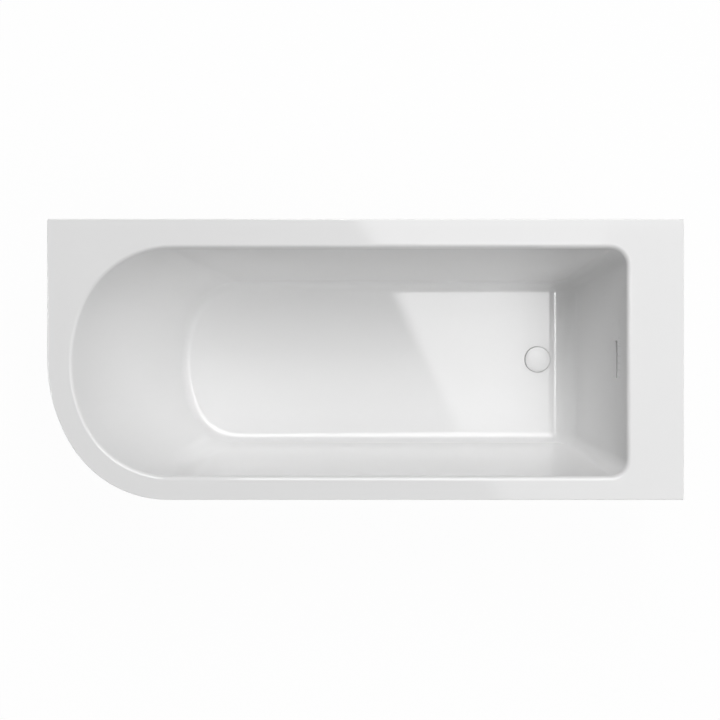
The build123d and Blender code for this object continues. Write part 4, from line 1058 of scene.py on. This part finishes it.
def flat_sheet(name, corners, material, faces=None):
    """A sheet of the studio: one face round all its corners, or the faces that are given."""
    mesh = bpy.data.meshes.new(name)
    mesh.from_pydata(corners, [], faces or [list(range(len(corners)))])
    mesh.materials.append(material)
    made = bpy.data.objects.new(name, mesh)
    bpy.context.scene.collection.objects.link(made)
    return made


def seen_white(tree, lit, white):
    """Mixes a lit shader with plain white for the rays that show it: camera, glossy and transmission."""
    path = add(tree, "LightPath")
    seen = path.outputs["Is Camera Ray"]
    for kind in ("Is Glossy Ray", "Is Transmission Ray"):
        seen = add(tree, "Math", {0: seen, 1: path.outputs[kind]}, operation="MAXIMUM").outputs[0]
    share = add(tree, "Math", {0: seen, 1: white}, operation="MULTIPLY").outputs[0]
    return add(tree, "MixShader", {"Fac": share, 1: lit, 2: add(tree, "Emission").outputs[0]}).outputs[0]


print("helpers for the studio: rectangle, flat_sheet, seen_white")

# %% [markdown]
# ## Floor and world
# The bath stands on a plain white floor in a white room. The floor keeps a small share of its lit shader, and
# with it the bath's shadow. The world itself gives no light: the lamps do that.

# %% White floor, white room
floor_reach, floor_white, room_light = 12.0, 0.96, 0.0
ground = bpy.data.materials.new("studio_floor")
ground.use_nodes = True
tree = ground.node_tree
lit = tree.nodes["Principled BSDF"]
feed(tree, lit, {"Base Color": (0.8, 0.8, 0.8, 1.0), "Roughness": 0.9})
feed(tree, tree.nodes["Material Output"], {"Surface": seen_white(tree, lit.outputs[0], floor_white)})
across = (-floor_reach, floor_reach)
flat_sheet("studio_floor", rectangle(across, across, 0), ground)

world = bpy.data.worlds.new("studio")
bpy.context.scene.world = world
world.use_nodes = True
tree = world.node_tree
sky = tree.nodes["Background"]
feed(tree, sky, {"Color": (1, 1, 1, 1), "Strength": room_light})
feed(tree, tree.nodes["World Output"], {"Surface": seen_white(tree, sky.outputs[0], 1.0)})
print("floor:", 2 * floor_reach, "m across")

# %% [markdown]
# ## Sheets that only reflections see
# A photographer shapes the gloss with cards and flags, which light nothing but show in the polish. Here they
# are plain sheets hidden from the camera, from diffuse light and from shadows. Each glows along Y as a ramp
# says, because no card in a studio is lit evenly.

# %% Glowing sheets
def glowing(name, stops, shared=False):
    """Emission along Y of Object coordinates, as a ramp of stops (Y, brightness). A shared one goes from the
    room's own brightness to the ramp's by the attribute share."""
    material = bpy.data.materials.new(name)
    material.use_nodes = True
    tree = material.node_tree
    tree.nodes.clear()
    low, high = stops[0][0], stops[-1][0]
    brightest = max(bright for _, bright in stops)
    axes = add(tree, "SeparateXYZ", {0: add(tree, "TexCoord").outputs["Object"]})
    along = add(tree, "MapRange", {"Value": axes.outputs["Y"], "From Min": low, "From Max": high})
    places = [((y - low) / (high - low), (bright - shared) / (brightest - shared)) for y, bright in stops]
    level = ramp(tree, along.outputs["Result"], *places)
    if shared:
        share = add(tree, "Attribute", attribute_name="share").outputs["Fac"]
        level = add(tree, "Math", {0: level, 1: share}, operation="MULTIPLY").outputs[0]
    strength = add(tree, "MapRange", {"Value": level, "To Min": float(shared), "To Max": brightest})
    glow = add(tree, "Emission", {"Strength": strength.outputs["Result"]})
    add(tree, "OutputMaterial", {"Surface": glow.outputs[0]})
    return material


def reflected_only(sheet):
    """Hides a sheet from all but reflections: it lights nothing and throws no shadow."""
    sheet.visible_camera = False
    sheet.visible_diffuse = False
    sheet.visible_shadow = False


print("helpers for the gloss: glowing, reflected_only")

# %% [markdown]
# ## The big card
# The gloss shows one big white card above the bath, to the right. Its soft near edge draws the diagonal line on
# the rim and the floor, so the edge is given as that line: places in the picture, carried up from the rim to
# the card's height as the camera sees them. Its far part lights the rounded foot of the front wall.

# %% The card and its soft edge
card_height, soft_edge = 6.6, 0.09
pixel = 0.0026686
card_scale = pixel * (camera_above_rim + card_height - rim_top) / camera_above_rim
card_line = [(-150, 390), (-40, 183), (-5, 141), (14.5, 117), (55, 70), (123, -76), (128, -121.4),
             (139.5, -136.4), (190, -210)]
card_back, card_front, card_middle, card_right = 7.47, -1.207, 1.4, 3.2
near_edge = np.array([(camera.location.x + x * card_scale, y * card_scale, card_height) for x, y in card_line])
far_edge = np.array([(card_middle, card_front, card_height), (card_middle, card_back, card_height),
                     (near_edge[0, 0], card_back, card_height)])
near_light = [(-0.5, 2.4), (-0.1, 3.0), (0.15, 5.1), (0.4, 6.4), (0.7, 3.2), (1.1, 4.1), (1.8, 5.6), (3.5, 5.7)]
far_light = [(-0.5, 2.5), (0.7, 2.65), (1.1, 4.1), (1.8, 5.4), (3.5, 6.1)]


def make_card():
    """The card with its soft edge: the share rises from 0 to 1 over a band along the near edge."""
    count = len(near_edge)
    half = np.array([soft_edge / 2, 0, 0])
    points = np.concatenate([near_edge - half, near_edge + half, far_edge])
    band = [[i, i + 1, count + i + 1, count + i] for i in range(count - 1)]
    faces = band + [list(range(count, len(points)))]
    card = flat_sheet("softbox", points.tolist(), glowing("softbox", near_light, shared=True), faces)
    share = card.data.attributes.new("share", "FLOAT", "POINT")
    share.data.foreach_set("value", [0.0] * count + [1.0] * (len(points) - count))
    reflected_only(card)


make_card()
far_part = rectangle((card_middle, card_right), (card_front, card_back), card_height)
reflected_only(flat_sheet("softbox_far", far_part, glowing("softbox_far", far_light)))
print("card: near edge of", len(card_line), "places, soft over", soft_edge, "m")

# %% [markdown]
# ## A strip and two flags
# A narrow strip to the left draws the thin bright line along the foot of the end wall. Two grey flags, upright
# to the left and in front, keep the rest of that foot quiet.

# %% The strip and the flags
strip_x, strip_width, strip_half = -2.7, 0.55, 0.55
strip = rectangle((strip_x, strip_x + strip_width), (-strip_half, strip_half), card_height)
reflected_only(flat_sheet("strip", strip, glowing("strip", [(-0.5, 4.5), (0.4, 16.0)])))
flag_grey, flag_far, flag_wide, flag_foot = 0.4, 3.1, 7.0, 0.6
grey = glowing("flag", [(-1.0, flag_grey), (1.0, flag_grey)])


def flag(name, start, end):
    """An upright grey sheet over the line between two places."""
    corners = [(*start, flag_foot), (*end, flag_foot), (*end, card_height), (*start, card_height)]
    reflected_only(flat_sheet(name, corners, grey))


flag("flag_left", (-flag_far, -flag_wide), (-flag_far, flag_wide))
flag("flag_front", (-flag_wide, -flag_far), (flag_wide, -flag_far))
print("sheets in the gloss: two cards, a strip, two flags")

# %% [markdown]
# ## Soft light
# What lights the acrylic is a separate matter: large soft lamps, most of the light from the right and from the
# back, high up, and less from the left. Low strips, no higher than the rim, light the skirt without reaching
# into the bowl. The gloss shows none of them.

# %% Soft lamps
lamp_centre, lamp_target = Vector((0, 0, 0.5)), Vector((0, 0, 0.4))
low_size, low_distance = (3.0, 0.3), 4.0


def area_light(name, azimuth, elevation, power, size=(4.0, 4.0), distance=10.0):
    """A lamp with a width and a height, in a direction from the bath, facing it, unseen in reflections."""
    data = bpy.data.lights.new(name, "AREA")
    data.shape = "RECTANGLE"
    data.size, data.size_y = size
    data.energy = power
    lamp = bpy.data.objects.new(name, data)
    bpy.context.scene.collection.objects.link(lamp)
    turn, rise = np.radians(azimuth), np.radians(elevation)
    away = Vector((np.cos(turn) * np.cos(rise), np.sin(turn) * np.cos(rise), np.sin(rise)))
    lamp.location = lamp_centre + distance * away
    lamp.rotation_euler = (lamp.location - lamp_target).to_track_quat("Z", "Y").to_euler()
    lamp.visible_camera = False
    lamp.visible_glossy = False


lamps = {"back": (90, 45, 300), "right_back": (60, 60, 303), "right": (0, 60, 112), "right_front": (330, 60, 205),
         "front": (300, 45, 93), "left_front": (210, 60, 62), "left_back": (150, 45, 66)}
for name, (azimuth, elevation, power) in lamps.items():
    area_light(name, azimuth, elevation, power)
low_strips = {"skirt_front": (270, 45), "skirt_left": (180, 45), "rear": (90, 30), "right_side": (0, 30)}
for name, (azimuth, power) in low_strips.items():
    area_light(name, azimuth, 0.0, power, size=low_size, distance=low_distance)
bpy.context.scene.view_settings.view_transform = "Standard"
print("lamps:", len(lamps) + len(low_strips))
